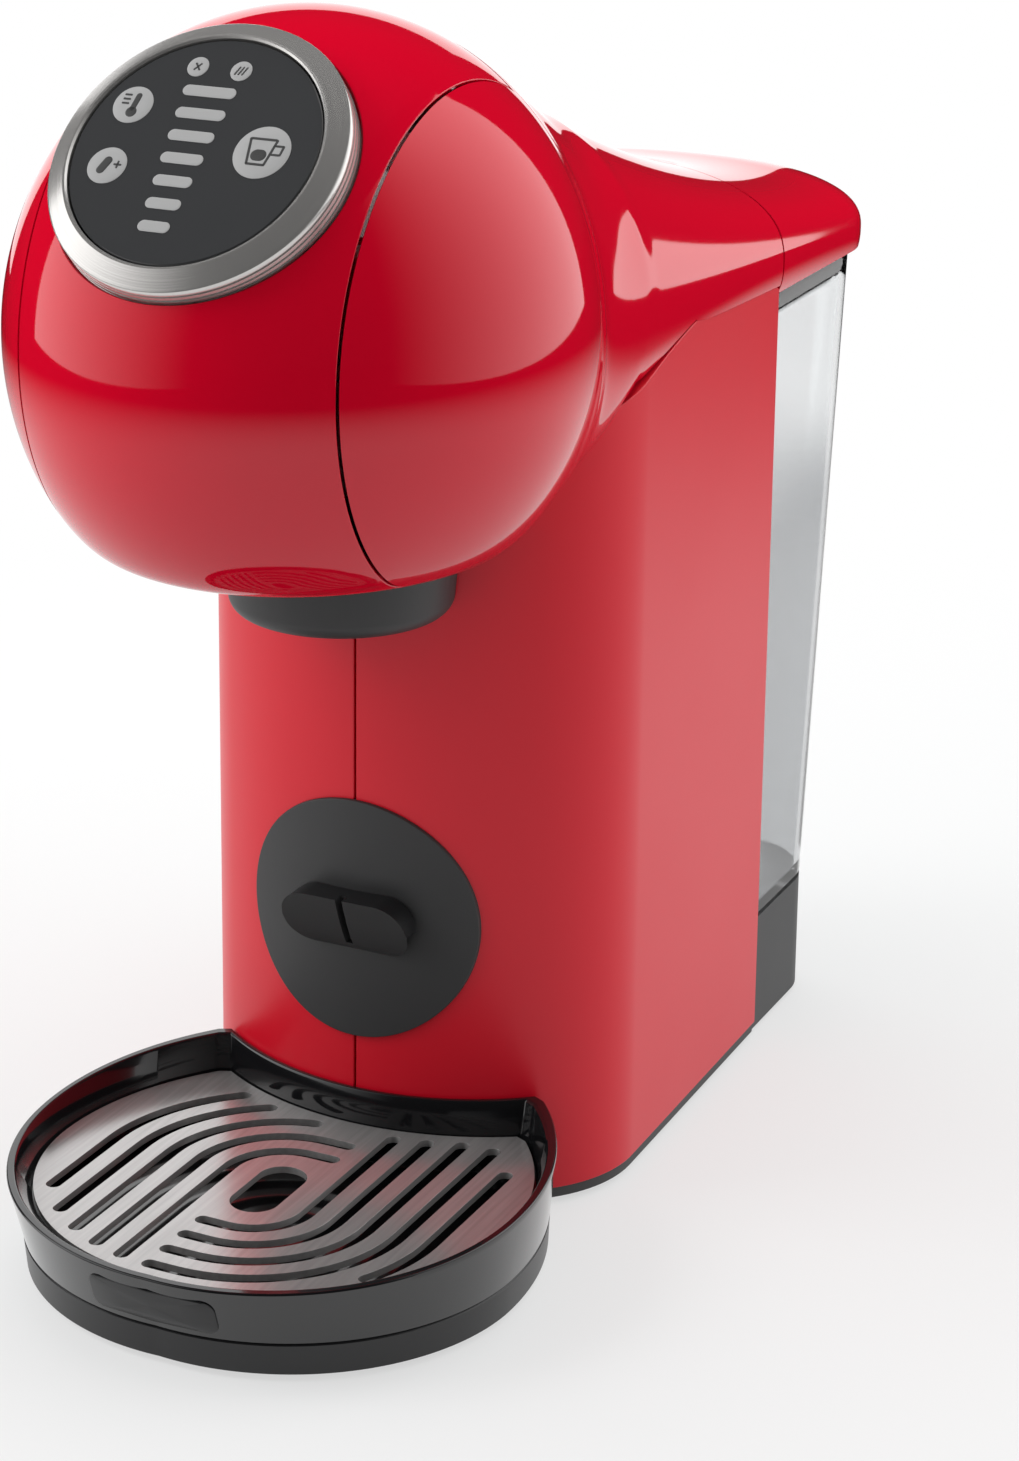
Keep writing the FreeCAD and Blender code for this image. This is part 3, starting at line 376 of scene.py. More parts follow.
def head_low(x, y):
    """Lower skin of the head over a plan point: its ball on its flat underside; high up outside its plan."""
    inside = 1 - (x / HEAD_HALF) ** 2 - ((y - HEAD_Y) / HEAD_RADIUS) ** 2
    low = HEAD_Z - HEAD_RADIUS * np.sqrt(np.maximum(inside, 0))
    return over_floor(np.where(inside > 0, low, CAD_HIGH[2] / MM))


def on_ball(x, angle, inset=0.0):
    """Point of the head's ball at a distance across and an angle up from straight ahead."""
    radius = (HEAD_RADIUS - inset) * np.sqrt(1 - (x / (HEAD_HALF - inset)) ** 2)
    return np.stack([x, HEAD_Y - np.cos(angle) * radius, over_floor(HEAD_Z + np.sin(angle) * radius)], -1)


def plan_x(y):
    """Half width of the column's plan at a depth."""
    line = column_outline(240)
    return np.interp(y, line[:, 1], line[:, 0])


def column_outline(count):
    """Right half of the column's plan, from the middle of its front to the rear corner."""
    start = math.asin(ARC_HALF / COLUMN_ARC)
    finish = math.pi / 2 + math.atan(BODY_TAPER)
    corner = (BODY_HALF - ARC_HALF) / (1 - math.sin(start))
    turn = np.linspace(0, start, count // 3)
    front = np.stack([COLUMN_ARC * np.sin(turn), COLUMN + COLUMN_ARC * (1 - np.cos(turn))], -1)
    turn = np.linspace(start, finish, count // 3)[1:]
    bend = np.stack([ARC_HALF + corner * (np.sin(turn) - math.sin(start)),
                     front[-1, 1] + corner * (math.cos(start) - np.cos(turn))], -1)
    side = np.linspace(bend[-1], (BODY_REAR_HALF, BODY_REAR), count // 3)[1:]
    return np.concatenate([front, bend, side])


# Material helpers
def shader(name, **plain):
    """New material, its tree and its Principled BSDF; plain values go straight on the shader's sockets."""
    material = bpy.data.materials.new(name)
    material.use_nodes = True
    principled = material.node_tree.nodes["Principled BSDF"]
    for socket, value in plain.items():
        principled.inputs[socket.replace("_", " ")].default_value = value
    return material, material.node_tree, principled


def connect(tree, node, feeds):
    """Link each named input of a node from the output given for it."""
    for socket, source in feeds.items():
        tree.links.new(source, node.inputs[socket])


def add_node(tree, kind, values=None, feeds=None, **settings):
    """New shader node: its own settings, then plain values and feeds on its inputs."""
    node = tree.nodes.new("ShaderNode" + kind)
    for name, value in settings.items():
        setattr(node, name, value)
    for socket, value in (values or {}).items():
        node.inputs[socket].default_value = value
    connect(tree, node, feeds or {})
    return node


def combine(tree, operation, first, second, **settings):
    """Output of a Math node on two items, each a number or another node's output."""
    items = dict(enumerate((first, second)))
    values = {socket: item for socket, item in items.items() if isinstance(item, float)}
    feeds = {socket: item for socket, item in items.items() if socket not in values}
    return add_node(tree, "Math", values, feeds, operation=operation, **settings).outputs["Value"]


def effect_group(name, inputs):
    """Node group with the named inputs, which puts out a colour, a roughness and a height."""
    group = bpy.data.node_groups.new(name, "ShaderNodeTree")
    for socket, kind, value in inputs:
        item = group.interface.new_socket(name=socket, in_out="INPUT", socket_type="NodeSocket" + kind)
        if value is not None:
            item.default_value = value
    for socket, kind in (("Colour", "Color"), ("Roughness", "Float"), ("Height", "Float")):
        group.interface.new_socket(name=socket, in_out="OUTPUT", socket_type="NodeSocket" + kind)
    return group, group.nodes.new("NodeGroupInput").outputs, group.nodes.new("NodeGroupOutput")


def moulded_skin():
    """Moulded skin: fine grain for the bump, slow drift for the shine and the colour."""
    if "moulded_skin" in bpy.data.node_groups:
        return bpy.data.node_groups["moulded_skin"]
    group, given, leave = effect_group("moulded_skin", [
        ("Colour", "Color", (0.5, 0.5, 0.5, 1)), ("Grain size", "Float", 1500.0),
        ("Drift size", "Float", 18.0), ("Low shine", "Float", 0.3), ("High shine", "Float", 0.4),
        ("Shade", "Float", 0.06)])
    place = add_node(group, "TexCoord").outputs["Object"]
    grain = add_node(group, "TexNoise", {"Detail": 3.0}, {"Vector": place, "Scale": given["Grain size"]})
    drift = add_node(group, "TexNoise", {"Detail": 4.0}, {"Vector": place, "Scale": given["Drift size"]})
    slow = drift.outputs["Fac"]
    shine = add_node(group, "MapRange", feeds={
        "Value": slow, "To Min": given["Low shine"], "To Max": given["High shine"]})
    amount = combine(group, "MULTIPLY", slow, given["Shade"])
    darker = add_node(group, "Mix", {"B": (0.2, 0.2, 0.2, 1)}, {"Factor": amount, "A": given["Colour"]},
                      data_type="RGBA", blend_type="MULTIPLY")
    connect(group, leave, {"Colour": darker.outputs["Result"], "Roughness": shine.outputs["Result"],
                           "Height": grain.outputs["Fac"]})
    return group


def brushed_lines():
    """Brushed metal: long thin streaks along one axis of the given coordinates."""
    if "brushed_lines" in bpy.data.node_groups:
        return bpy.data.node_groups["brushed_lines"]
    group, given, leave = effect_group("brushed_lines", [
        ("Vector", "Vector", None), ("Colour", "Color", (0.5, 0.5, 0.5, 1)),
        ("Low shine", "Float", 0.2), ("High shine", "Float", 0.4)])
    noise = add_node(group, "TexNoise", {"Scale": 1.0, "Detail": 4.0}, {"Vector": given["Vector"]})
    streak = noise.outputs["Fac"]
    shine = add_node(group, "MapRange", feeds={
        "Value": streak, "To Min": given["Low shine"], "To Max": given["High shine"]})
    tint = add_node(group, "MapRange", {"From Min": 0.3, "From Max": 0.7, "To Min": 0.8, "To Max": 1.0},
                    {"Value": streak})
    shade = add_node(group, "Mix", {"Factor": 1.0}, {"A": given["Colour"], "B": tint.outputs["Result"]},
                     data_type="RGBA", blend_type="MULTIPLY")
    connect(group, leave, {"Colour": shade.outputs["Result"], "Roughness": shine.outputs["Result"],
                           "Height": streak})
    return group


def dress(tree, principled, effect, depth, relief):
    """Feed an effect's colour, roughness and height, as a bump, to the shader."""
    made = effect.outputs
    bump = add_node(tree, "Bump", {"Strength": depth, "Distance": relief}, {"Height": made["Height"]})
    connect(tree, principled, {"Base Color": made["Colour"], "Roughness": made["Roughness"],
                               "Normal": bump.outputs["Normal"]})


def moulded(name, colour, low, high, grain=1500.0, depth=0.02, shade=0.1, **plain):
    """Moulded plastic, rubber, glass or print from the shared skin group."""
    if name in bpy.data.materials:
        return bpy.data.materials[name]
    material, tree, principled = shader(name, **plain)
    values = {"Colour": (*colour, 1), "Grain size": grain, "Low shine": low, "High shine": high,
              "Shade": shade}
    dress(tree, principled, add_node(tree, "Group", values, node_tree=moulded_skin()), depth, 0.2 * MM)
    return material


def brushed(name, colour, low, high, stretch, use_run=False, depth=0.03, metal=1.0):
    """Brushed metal whose streaks follow the object's axes or its own run map."""
    if name in bpy.data.materials:
        return bpy.data.materials[name]
    material, tree, principled = shader(name, Metallic=metal)
    place = add_node(tree, "TexCoord").outputs["UV" if use_run else "Object"]
    along = add_node(tree, "Mapping", {"Scale": stretch}, {"Vector": place}).outputs["Vector"]
    values = {"Colour": (*colour, 1), "Low shine": low, "High shine": high}
    lines = add_node(tree, "Group", values, {"Vector": along}, node_tree=brushed_lines())
    dress(tree, principled, lines, depth, 0.1 * MM)
    return material


def gloss_red():
    return moulded("red_gloss_plastic", colours().gloss_red, 0.035, 0.055, grain=700.0, depth=0.003,
                   shade=0.05)


def matt_red():
    return moulded("red_satin_plastic", colours().matt_red, 0.30, 0.37, grain=3200.0, depth=0.05, shade=0.06,
                   Specular_IOR_Level=0.4)


def dark_grey():
    return moulded("dark_grey_plastic", colours().dark_grey, 0.46, 0.56, grain=2600.0, depth=0.12, shade=0.3)


def satin_black():
    return moulded("satin_black", (0.012, 0.012, 0.013), 0.30, 0.40, grain=2600.0, depth=0.06, shade=0.3)


def gloss_black():
    return moulded("gloss_black", colours().black, 0.07, 0.12, grain=500.0, depth=0.006, shade=0.3,
                   Coat_Weight=0.5, Coat_Roughness=0.04)


def rubber():
    return moulded("soft_rubber", (0.02, 0.02, 0.02), 0.7, 0.85, grain=1800.0, depth=0.2, shade=0.4)


def plain_steel():
    return brushed("plain_steel", (0.58, 0.58, 0.58), 0.25, 0.4, (30, 2500, 2500))


# Operators, one for each piece or group of like pieces
class COFFEE_OT_head(bpy.types.Operator):
    """Side caps of the head run on into the neck as one gloss skin"""
    bl_idname = "coffee.head"
    bl_label = "Head and neck"

    def execute(self, context):
        steps, rear_inset = 72, 0.4
        rear_edge = math.radians(VISOR_HIGH + REAR_GAP)
        tip = HEAD_RADIUS * math.sqrt(1 - (CHEEK_EDGE / HEAD_HALF) ** 2)
        corner_y = HEAD_Y - math.cos(rear_edge) * tip
        crest_y = HEAD_Y - math.cos(rear_edge) * HEAD_RADIUS
        y = np.concatenate([HEAD_Y - tip * np.cos(np.linspace(0, rear_edge, 70)),
                            np.linspace(corner_y, crest_y, 14)[1:],
                            np.linspace(crest_y, BODY_REAR - rear_inset, 90)[1:]])
        plane = HEAD_Z - (y - HEAD_Y) * math.tan(rear_edge)
        at_plane = turn_at_z(y, np.minimum(plane, section_at(y)[1]))
        high = np.where(y <= corner_y, turn_at_x(y, CHEEK_EDGE), np.where(y < crest_y, at_plane, math.pi / 2))
        low = np.minimum(self.lower_turn(y), high)
        grid = skin_point(np.repeat(y[:, None], steps, 1), np.linspace(low, high, steps, axis=-1))
        piece("head_skin", [grid] + mirrored([grid]), gloss_red(), "machine",
              ("head_cheek_left", "head_cheek_right", "head_cover"), sizes().thin_wall,
              sizes().edge)
        return {"FINISHED"}

    @staticmethod
    def lower_turn(y):
        """Lowest turn kept at each depth: the visor's strip in front, the column's skin, the side seam."""
        strip = -turn_at_x(y, CHEEK_EDGE)
        side = turn_at_z(y, seam_height(y))
        column = -turn_at_x(y, np.where(y > COLUMN, plan_x(y) + seam() / 2, 0.0))
        return np.where(y < COLUMN, strip, np.maximum(strip, np.minimum(np.maximum(strip, column), side)))


class COFFEE_OT_visor(bpy.types.Operator):
    """Lifting front band of the head with the round seat of the dial"""
    bl_idname = "coffee.visor"
    bl_label = "Visor"

    def execute(self, context):
        steps, steepest = 60, 0.97
        window, centre = math.radians(40.0), math.radians(DIAL_PITCH)
        across = np.linspace(-VISOR_HALF, VISOR_HALF, steps + 1)
        upright = np.linspace(-window, window, steps + 1)
        rim = np.concatenate([
            np.stack([np.full(steps, VISOR_HALF), upright[:-1]], -1),
            np.stack([across[::-1][:-1], np.full(steps, window)], -1),
            np.stack([np.full(steps, -VISOR_HALF), upright[::-1][:-1]], -1),
            np.stack([across, np.full(steps + 1, -window)], -1)])
        turn = np.arctan2(rim[:, 1] / window, rim[:, 0] / VISOR_HALF)
        hole_x, hole_up = DIAL_HOLE * np.cos(turn), DIAL_HOLE * np.sin(turn)
        width = HEAD_RADIUS * np.sqrt(1 - (hole_x / HEAD_HALF) ** 2)
        inner = np.stack([hole_x, np.arcsin(hole_up / width)], -1)
        flat = np.stack(between(inner, rim, np.linspace(0, 1, 16)))
        window_grid = on_ball(flat[..., 0], centre + flat[..., 1])
        floor = on_dial(np.stack([hole_x, hole_up, np.full_like(turn, DIAL_SEAT)], -1))
        well = np.stack(between(window_grid[0], floor, np.linspace(0, 1, 6)))
        hub = on_dial(np.array([0.0, 0.0, DIAL_SEAT]))
        seat = np.stack(between(hub, floor, np.linspace(1, 0.02, 4)))
        rows = np.linspace(0, 1, 70)[:, None]
        radius = HEAD_RADIUS * np.sqrt(1 - (across / HEAD_HALF) ** 2)
        lip = -np.arcsin(np.minimum((HEAD_Z - HEAD_FLOOR + LIP_DROP) / radius, steepest))
        lower = lip + (centre - window - lip) * rows
        upper = centre + window + (math.radians(VISOR_HIGH) - centre - window) * rows[::2] + 0 * across
        bands = [on_ball(across[None, :] + 0 * run, run) for run in (upper, lower)]
        piece("visor_skin", [window_grid] + bands, gloss_red(), "visor", ("visor",),
              sizes().wall, sizes().edge)
        piece("dial_well", [well, seat], satin_black(), "visor", (), turn_out=False)
        self.tongue(across[1:-1])
        return {"FINISHED"}

    @staticmethod
    def tongue(across):
        """Strip on the visor that closes the gap behind its rear edge and dips under the cover, coloured
        black as painted shade so the seam reads as a dark line.
        """
        upper, lower, root, tip = 1.4, 2.1, math.radians(VISOR_HIGH - 1.5), math.radians(VISOR_HIGH + 2.0)
        ring = [(root, upper), (tip, upper), (tip, lower), (root, lower), (root, upper)]
        grid = np.stack([on_ball(across, np.full_like(across, angle), inset) for angle, inset in ring])
        # Black is painted shade here: the strip stands for the shadow inside the seam between visor and
        # cover.
        piece("visor_tongue_painted_shade", [grid], satin_black(), "visor", ())


# Signs on the dial. A bar is across, up, half length, thickness and lean; a dot is across, up and radius.
SCALE_TOP, SCALE_FOOT, SCALE_BAR = (-2.1, 13.7, 5.9), (-1.9, -17.8, 3.5), 2.5
SPOTS = [(-6.8, 19.2, 2.3), (2.9, 19.1, 2.3), (-17.4, 9.0, 4.3), (-17.4, -5.4, 4.2), (14.4, 1.2, 6.0)]
BULB = (-17.2, 7.3, 1.2)
WARM = [(-17.0, 9.6, 2.2, 1.3, 1.45)] + [(-19.2, 9.2 + k, 0.85, 0.45, 0.0) for k in range(3)]
BEAN = [(-18.0, -5.4, 2.1, 1.9, 1.2)] + [(-15.2, -5.0, 0.9, 0.45, lean) for lean in (0.0, math.pi / 2)]
CUP = [(13.9, 4.2, 2.9, 0.55, 0.0), (11.5, 1.3, 3.1, 0.55, 1.74), (16.3, 1.3, 3.1, 0.55, 1.40),
       (13.9, -1.6, 2.1, 0.55, 0.0), (13.9, 0.5, 1.7, 2.6, 0.0)]
HANDLE = [(17.6, 2.9, 1.1, 0.5, 0.0), (18.5, 1.9, 1.2, 0.5, 1.45), (17.3, 0.9, 1.1, 0.5, 0.0)]
CROSS = [(-6.8, 19.2, 1.1, 0.4, lean) for lean in (0.9, -0.9)]
STEAM = [(2.1 + 0.8 * k, 19.1, 1.1, 0.35, 1.2) for k in range(3)]
PRINT_LOW, PRINT_THICK = -0.2, 0.12


class COFFEE_OT_dial(bpy.types.Operator):
    """Turning ring, glass face and its printed marks"""
    bl_idname = "coffee.dial"
    bl_label = "Dial"

    def execute(self, context):
        bore, outer, face, low = 26.6, 31.5, DIAL_FACE, DIAL_SEAT + 0.4
        grip_low, grip_top = low + 1.0, DIAL_FACE - 1.9
        groove = [(0.0, 0.0), (0.55, 0.12), (0.55, 0.42), (0.0, 0.54)]
        profile = [(bore, low), (outer - 0.6, low), (outer, low + 0.5)]
        for z in np.linspace(grip_low, grip_top - 0.2, sizes().ribs, endpoint=False):
            profile += [(outer - depth, z + rise) for depth, rise in groove]
        profile += [(outer, grip_top), (outer - 0.15, grip_top + 0.3), (outer - 0.45, grip_top + 0.5)]
        profile += [(bore + 0.8, face + 0.55), (bore + 0.35, face + 0.5), (bore, face + 0.1), (bore, low)]
        ring = brushed("bright_bezel", colours().ring_metal, 0.16, 0.26, (6, 900, 1), use_run=True,
                       metal=0.75)
        piece("dial_bezel", [on_dial(lathe(profile, 220))], ring, "dial", ("dial_ring",),
              sharp=30)
        radius, chamfer = 26.2, 0.25
        edge = [(radius, face - 1.2), (radius, face - chamfer), (radius - chamfer, face), (radius / 2, face),
                (0.01, face)]
        piece("dial_face", [on_dial(lathe(edge))], self.glass(), "visor", ("dial_glass",))
        self.marks(face + 0.02)
        return {"FINISHED"}

    @staticmethod
    def glass():
        return moulded("smoked_glass", (0.045, 0.046, 0.048), 0.10, 0.14, grain=300.0, depth=0.002, shade=0.2,
                       Coat_Weight=0.6, Coat_Roughness=0.03)

    @staticmethod
    def dot(x, y, radius, height):
        """Low round pad: a short lathe with a soft rim."""
        rings = [(radius, PRINT_LOW), (radius, PRINT_THICK * 0.6), (radius - PRINT_THICK, PRINT_THICK),
                 (radius * 0.5, PRINT_THICK), (0.0, PRINT_THICK)]
        return on_dial(lathe(rings, ARC_POINTS) + [x, y, height])

    @staticmethod
    def bar(x, y, half, tall, lean, height):
        """Round-ended bar: a dot's outline pulled apart along its length."""
        angle = np.linspace(0, 2 * math.pi, ARC_POINTS + 1)
        rings = np.array([(1.0, PRINT_LOW), (1.0, PRINT_THICK * 0.6), (1 - PRINT_THICK, PRINT_THICK),
                          (0.5, PRINT_THICK), (0.0, PRINT_THICK)])
        radius = tall / 2
        along = np.clip(np.cos(angle) * 1e6, -1, 1) * (half - radius) * np.minimum(1.0, rings[:, :1] * 1e3)
        px = along + rings[:, :1] * radius * np.cos(angle)
        py = rings[:, :1] * radius * np.sin(angle)
        c, s = math.cos(lean), math.sin(lean)
        return on_dial(np.stack([x + px * c - py * s, y + px * s + py * c,
                                 height + rings[:, 1:] + 0 * px], -1))

    def marks(self, height):
        grey = moulded("printed_grey", colours().symbol_grey, 0.4, 0.5, grain=2000.0, depth=0.01)
        ink = moulded("printed_dark", (0.05, 0.05, 0.05), 0.4, 0.5, grain=2000.0, depth=0.01)
        top = height + 0.06
        steps = np.linspace(SCALE_TOP, SCALE_FOOT, sizes().bars)
        scale = [self.bar(*step, SCALE_BAR, 0.0, height) for step in steps]
        spots = [self.dot(*spot, height) for spot in SPOTS]
        signs = [self.bar(*sign, top) for sign in WARM + BEAN + CUP + HANDLE + CROSS + STEAM]
        signs.append(self.dot(*BULB, top))
        for name, grids, paint in (("level_bars", scale, grey), ("touch_spots", spots, grey),
                                   ("mark_lines", signs, ink)):
            piece(name, grids, paint, "visor", (), turn_out=False)


class COFFEE_OT_lid(bpy.types.Operator):
    """Tank lid: the end of the neck's skin with its rounded rear edge"""
    bl_idname = "coffee.lid"
    bl_label = "Tank lid"

    def execute(self, context):
        steps = 90
        bend = np.sin(np.linspace(0, math.pi / 2, 24))
        y = np.concatenate([np.linspace(LID_FRONT, REAR - LID_CORNER, 40),
                            REAR - LID_CORNER + LID_CORNER * bend[1:]])
        low = turn_at_z(y, np.full_like(y, LID_BASE))
        roof = skin_point(np.repeat(y[:, None], steps, 1), np.linspace(low, math.pi - low, steps, axis=-1))
        end = np.stack(between(roof[-1], np.array([0.0, REAR, LID_BASE]), np.linspace(0, 1, 12)))
        piece("lid_skin", [roof, end], gloss_red(), "lid", ("tank_lid",), sizes().wall,
              sizes().edge)
        return {"FINISHED"}


class COFFEE_OT_column(bpy.types.Operator):
    """Two satin shells of the column, meeting along the middle"""
    bl_idname = "coffee.column"
    bl_label = "Column"

    def execute(self, context):
        x, y = column_outline(210).T
        x = np.maximum(x, seam() / 2)
        top = np.minimum(seam_height(y), head_low(x, y)) - seam()
        back_x = np.linspace(BODY_REAR_HALF, seam() / 2, 20)
        side = self.wall_up(x, y, top)
        back = self.wall_up(back_x, np.full_like(back_x, BODY_REAR), np.full_like(back_x, top[-1]))
        for hand, grids in (("right", [side, back]), ("left", mirrored([side, back]))):
            piece("column_" + hand, grids, matt_red(), "machine", ("body_shell_" + hand,),
                  sizes().wall, sizes().edge)
        return {"FINISHED"}

    @staticmethod
    def wall_up(x, y, top):
        """Upright wall over a line in plan, from the shells' bottom to a height at each point."""
        foot = np.stack([x, y, np.full_like(x, SHELL_BOTTOM)], -1)
        return np.stack(between(foot, np.stack([x, y, top], -1), np.linspace(0, 1, 60)))


class COFFEE_OT_dark_parts(bpy.types.Operator):
    """Chin under the head, round hanger with its hook, tank dock, cord gland and base plate"""
    bl_idname = "coffee.dark_parts"
    bl_label = "Dark parts"

    def execute(self, context):
        for node, edge in (("head_underside", 0.0), ("tray_hanger", 0.5 * MM), ("tank_dock", 0.6 * MM),
                           ("cord_gland", 0.4 * MM), ("base_plate", 0.4 * MM)):
            refined(node, node + "_form", dark_grey(), "machine", edge)
        self.hook()
        return {"FINISHED"}

    @staticmethod
    def hook():
        """Pill that swells out of the disc towards its top, with an upright slot and a black ledge on top as
        painted shade.
        """
        low, high = box_mm("hanger_hook")
        disc_y = box_mm("tray_hanger")[0][1] + 0.3
        half, tall, middle = high[0], (high[2] - low[2]) / 2, (high[2] + low[2]) / 2
        slot, slot_depth, slot_foot, fullness = 0.8, 3.0, 0.72, 0.7
        right = np.concatenate([[0.0, slot, slot + 0.05], np.linspace(slot + 0.3, half, 40)])
        x = np.concatenate([-right[:0:-1], right])
        rise = np.sqrt(np.maximum(0.0, tall ** 2 - np.maximum(0.0, np.abs(x) - half + tall) ** 2))
        level = np.linspace(-1, 1, 61)[:, None]
        z = middle + rise * level
        swell = ((z - middle) / tall + 1) / 2
        y = disc_y + (low[1] - disc_y) * swell ** fullness
        y = np.where((np.abs(x) <= slot) & (level > -slot_foot), np.minimum(y + slot_depth, disc_y), y)
        face = np.stack([x + 0 * z, y, z], -1)
        ledge = np.stack([face[-1], face[-1] * [1, 0, 1] + [0, disc_y, 0]])
        piece("hook_face", [face], dark_grey(), "machine", ("hanger_hook",), turn_out=False)
        # The ledge is the hook's upward face, coloured black as painted shade for the shadowed pocket behind
        # the hook's lip.
        piece("hook_ledge", [ledge], satin_black(), "machine", (), turn_out=False)


def tray_outline(draw_in, inset):
    """Right half of the tray's plan, front middle to rear middle: three arcs and a straight nose."""
    half = TRAY_HALF - draw_in / 2 - inset
    front = FRONT + draw_in + inset
    tail = TRAY_TAIL - inset
    hollow = COLUMN_ARC + TRAY_GAP + inset
    centre_y = COLUMN + COLUMN_ARC
    tail_y = centre_y - math.sqrt(hollow ** 2 - tail ** 2)
    bow_in = (half - tail - TRAY_NOSE) * SIDE_BOW
    bow = math.radians(45)
    nose = (tail + TRAY_NOSE, tail_y - TRAY_NOSE / 2)
    quarter = math.asin(tail / hollow) / 2
    front_middle = (half * math.sin(bow), TRAY_WIDE_Y - (TRAY_WIDE_Y - front) * math.cos(bow))
    rear_middle = (hollow * math.sin(quarter), centre_y - hollow * math.cos(quarter))
    front_arc = arc_through((0, front), front_middle, (half, TRAY_WIDE_Y), ARC_POINTS)
    side = arc_through((half, TRAY_WIDE_Y), (half - bow_in, (TRAY_WIDE_Y + tail_y) / 2), nose, ARC_POINTS)
    tip = np.linspace(nose, (tail, tail_y), 6)
    rear = arc_through((tail, tail_y), rear_middle, (0, centre_y - hollow), ARC_POINTS)
    return np.concatenate([front_arc, side[1:], tip[1:], rear[1:]])


def tray_loop(draw_in, inset, height):
    """Whole closed plan of the tray at one height."""
    return closed_loop(tray_outline(draw_in, inset), height)


def rim_loop(draw_in, inset, drop=0.0):
    """Whole closed plan of the tray on its sloping rim, or a drop below it."""
    loop = tray_loop(draw_in, inset, RIM_FRONT - drop)
    rise = RIM_RISE * (loop[:, 1] - FRONT) / (COLUMN - FRONT)
    return loop + rise[:, None] * [0, 0, 1]


class COFFEE_OT_tray(bpy.types.Operator):
    """Gloss drip tray with its base ring, thin rim, inner ledge and bare front plate"""
    bl_idname = "coffee.tray"
    bl_label = "Drip tray"

    def execute(self, context):
        self.bowl()
        self.base_ring()
        self.front_plate()
        return {"FINISHED"}

    @staticmethod
    def middle(height):
        return np.array([0, TRAY_MIDDLE_Y, height])

    def bowl(self):
        """One skin from the middle of the underside up the wall, over the rim and down to the floor."""
        wall, ledge, rim_wall, lip = 2.0, 4.6, 1.3, 0.6
        ledge_z, floor_z = GRILLE_TOP - 1.6, TRAY_LOW + 2.2
        rim = rim_loop(0.0, 0)
        outer = between(tray_loop(TRAY_FLARE, 0, TRAY_LOW), rim, np.linspace(0, 0.97, 14))
        crest = between(rim, rim_loop(1.0, rim_wall), (0.12, 0.5, 0.88))
        inside = [rim_loop(1.2, rim_wall + 0.1, 0.5)]
        inside += [tray_loop(TRAY_FLARE, inset, z) for inset, z in (
            (wall, ledge_z + lip), (wall, ledge_z), (ledge, ledge_z), (ledge, floor_z))]
        floor = between(self.middle(floor_z), inside[-1], (0.6, 0.2, CLOSED))
        under = between(self.middle(TRAY_LOW), outer[0], (CLOSED, 0.5))
        piece("tray_bowl", [np.stack(under + outer + crest + inside + floor)], gloss_black(), "tray",
              ("drip_tray_bowl",), edge=0.3 * MM, sharp=30)

    def base_ring(self):
        """Low dark ring under the bowl, closed below and above."""
        foot, top = box_mm("drip_tray_base")[0][2], TRAY_LOW - 0.1
        wall = [tray_loop(TRAY_FLARE * draw_in, 0, z) for draw_in, z in (
            (1.2, foot + 0.6), (1.15, foot + 2.5), (1.0, TRAY_LOW - 0.5))]
        wall.append(tray_loop(TRAY_FLARE + 0.3, 0.3, top))
        bottom = between(self.middle(foot), tray_loop(TRAY_FLARE * 1.3, 0.6, foot), (CLOSED, 0.5, 1.0))
        cover = between(self.middle(top), wall[-1], (0.5, CLOSED))
        piece("tray_base_ring", [np.stack(bottom + wall + cover)], satin_black(), "tray", ("drip_tray_base",),
              sharp=30)

    @staticmethod
    def front_plate():
        """Bare plate let into the front: a rounded rectangle bent round the wall."""
        half, tall, round_corner, snap = 15.0, 4.25, 2.5, 40
        centre = TRAY_LOW + 1.5 + tall
        turn = np.linspace(0, 2 * math.pi, 97)
        c, s = np.cos(turn), np.sin(turn)
        x = np.sign(c) * (half - round_corner) * np.minimum(1, np.abs(c) * snap) + round_corner * c
        z = np.sign(s) * (tall - round_corner) * np.minimum(1, np.abs(s) * snap) + round_corner * s
        foot, top = [tray_outline(draw_in, 0)[:ARC_POINTS] for draw_in in (TRAY_FLARE, 0.0)]
        rings = []
        for scale, proud in ((1.0, -0.6), (1.0, 0.25), (0.96, 0.45), (0.5, 0.45), (CLOSED, 0.45)):
            px, pz = x * scale, centre + z * scale
            foot_y, top_y = [np.interp(np.abs(px), *line.T) for line in (foot, top)]
            share = (pz - TRAY_LOW) / (RIM_FRONT - TRAY_LOW)
            rings.append(np.stack([px, foot_y + (top_y - foot_y) * share - proud, pz], -1))
        piece("tray_plate", [np.stack(rings)], satin_black(), "tray", (), turn_out=False)


class COFFEE_OT_grille(bpy.types.Operator):
    """Satin metal grille with its pinwheel slots"""
    bl_idname = "coffee.grille"
    bl_label = "Drip grille"

    def execute(self, context):
        metal = brushed("satin_grille", colours().grille_metal, 0.16, 0.26, (900, 30, 900), metal=0.65)
        refined("drip_grille", "grille_plate", metal, "grille", 0.35 * MM)
        return {"FINISHED"}


def tank_loop(rear, inset, height):
    """Closed plan of the tank: flat front, sides that draw in and round rear corners."""
    front_half = BODY_REAR_HALF - TANK_GAP - inset
    corner = TANK_CORNER - inset
    front_y, side_y = TANK_FRONT + inset, rear - inset - corner
    side_half = front_half - BODY_TAPER * (side_y - front_y)
    turn = np.linspace(0, math.pi / 2, 20)
    bend = np.stack([side_half - corner + corner * np.cos(turn), side_y + corner * np.sin(turn)], -1)
    front = np.linspace((0, front_y), (front_half, front_y), 12)
    side = np.linspace(front[-1], bend[0], 24)[1:-1]
    back = np.linspace(bend[-1], (0, rear - inset), 12)[1:]
    return closed_loop(np.concatenate([front, side, bend, back]), height)


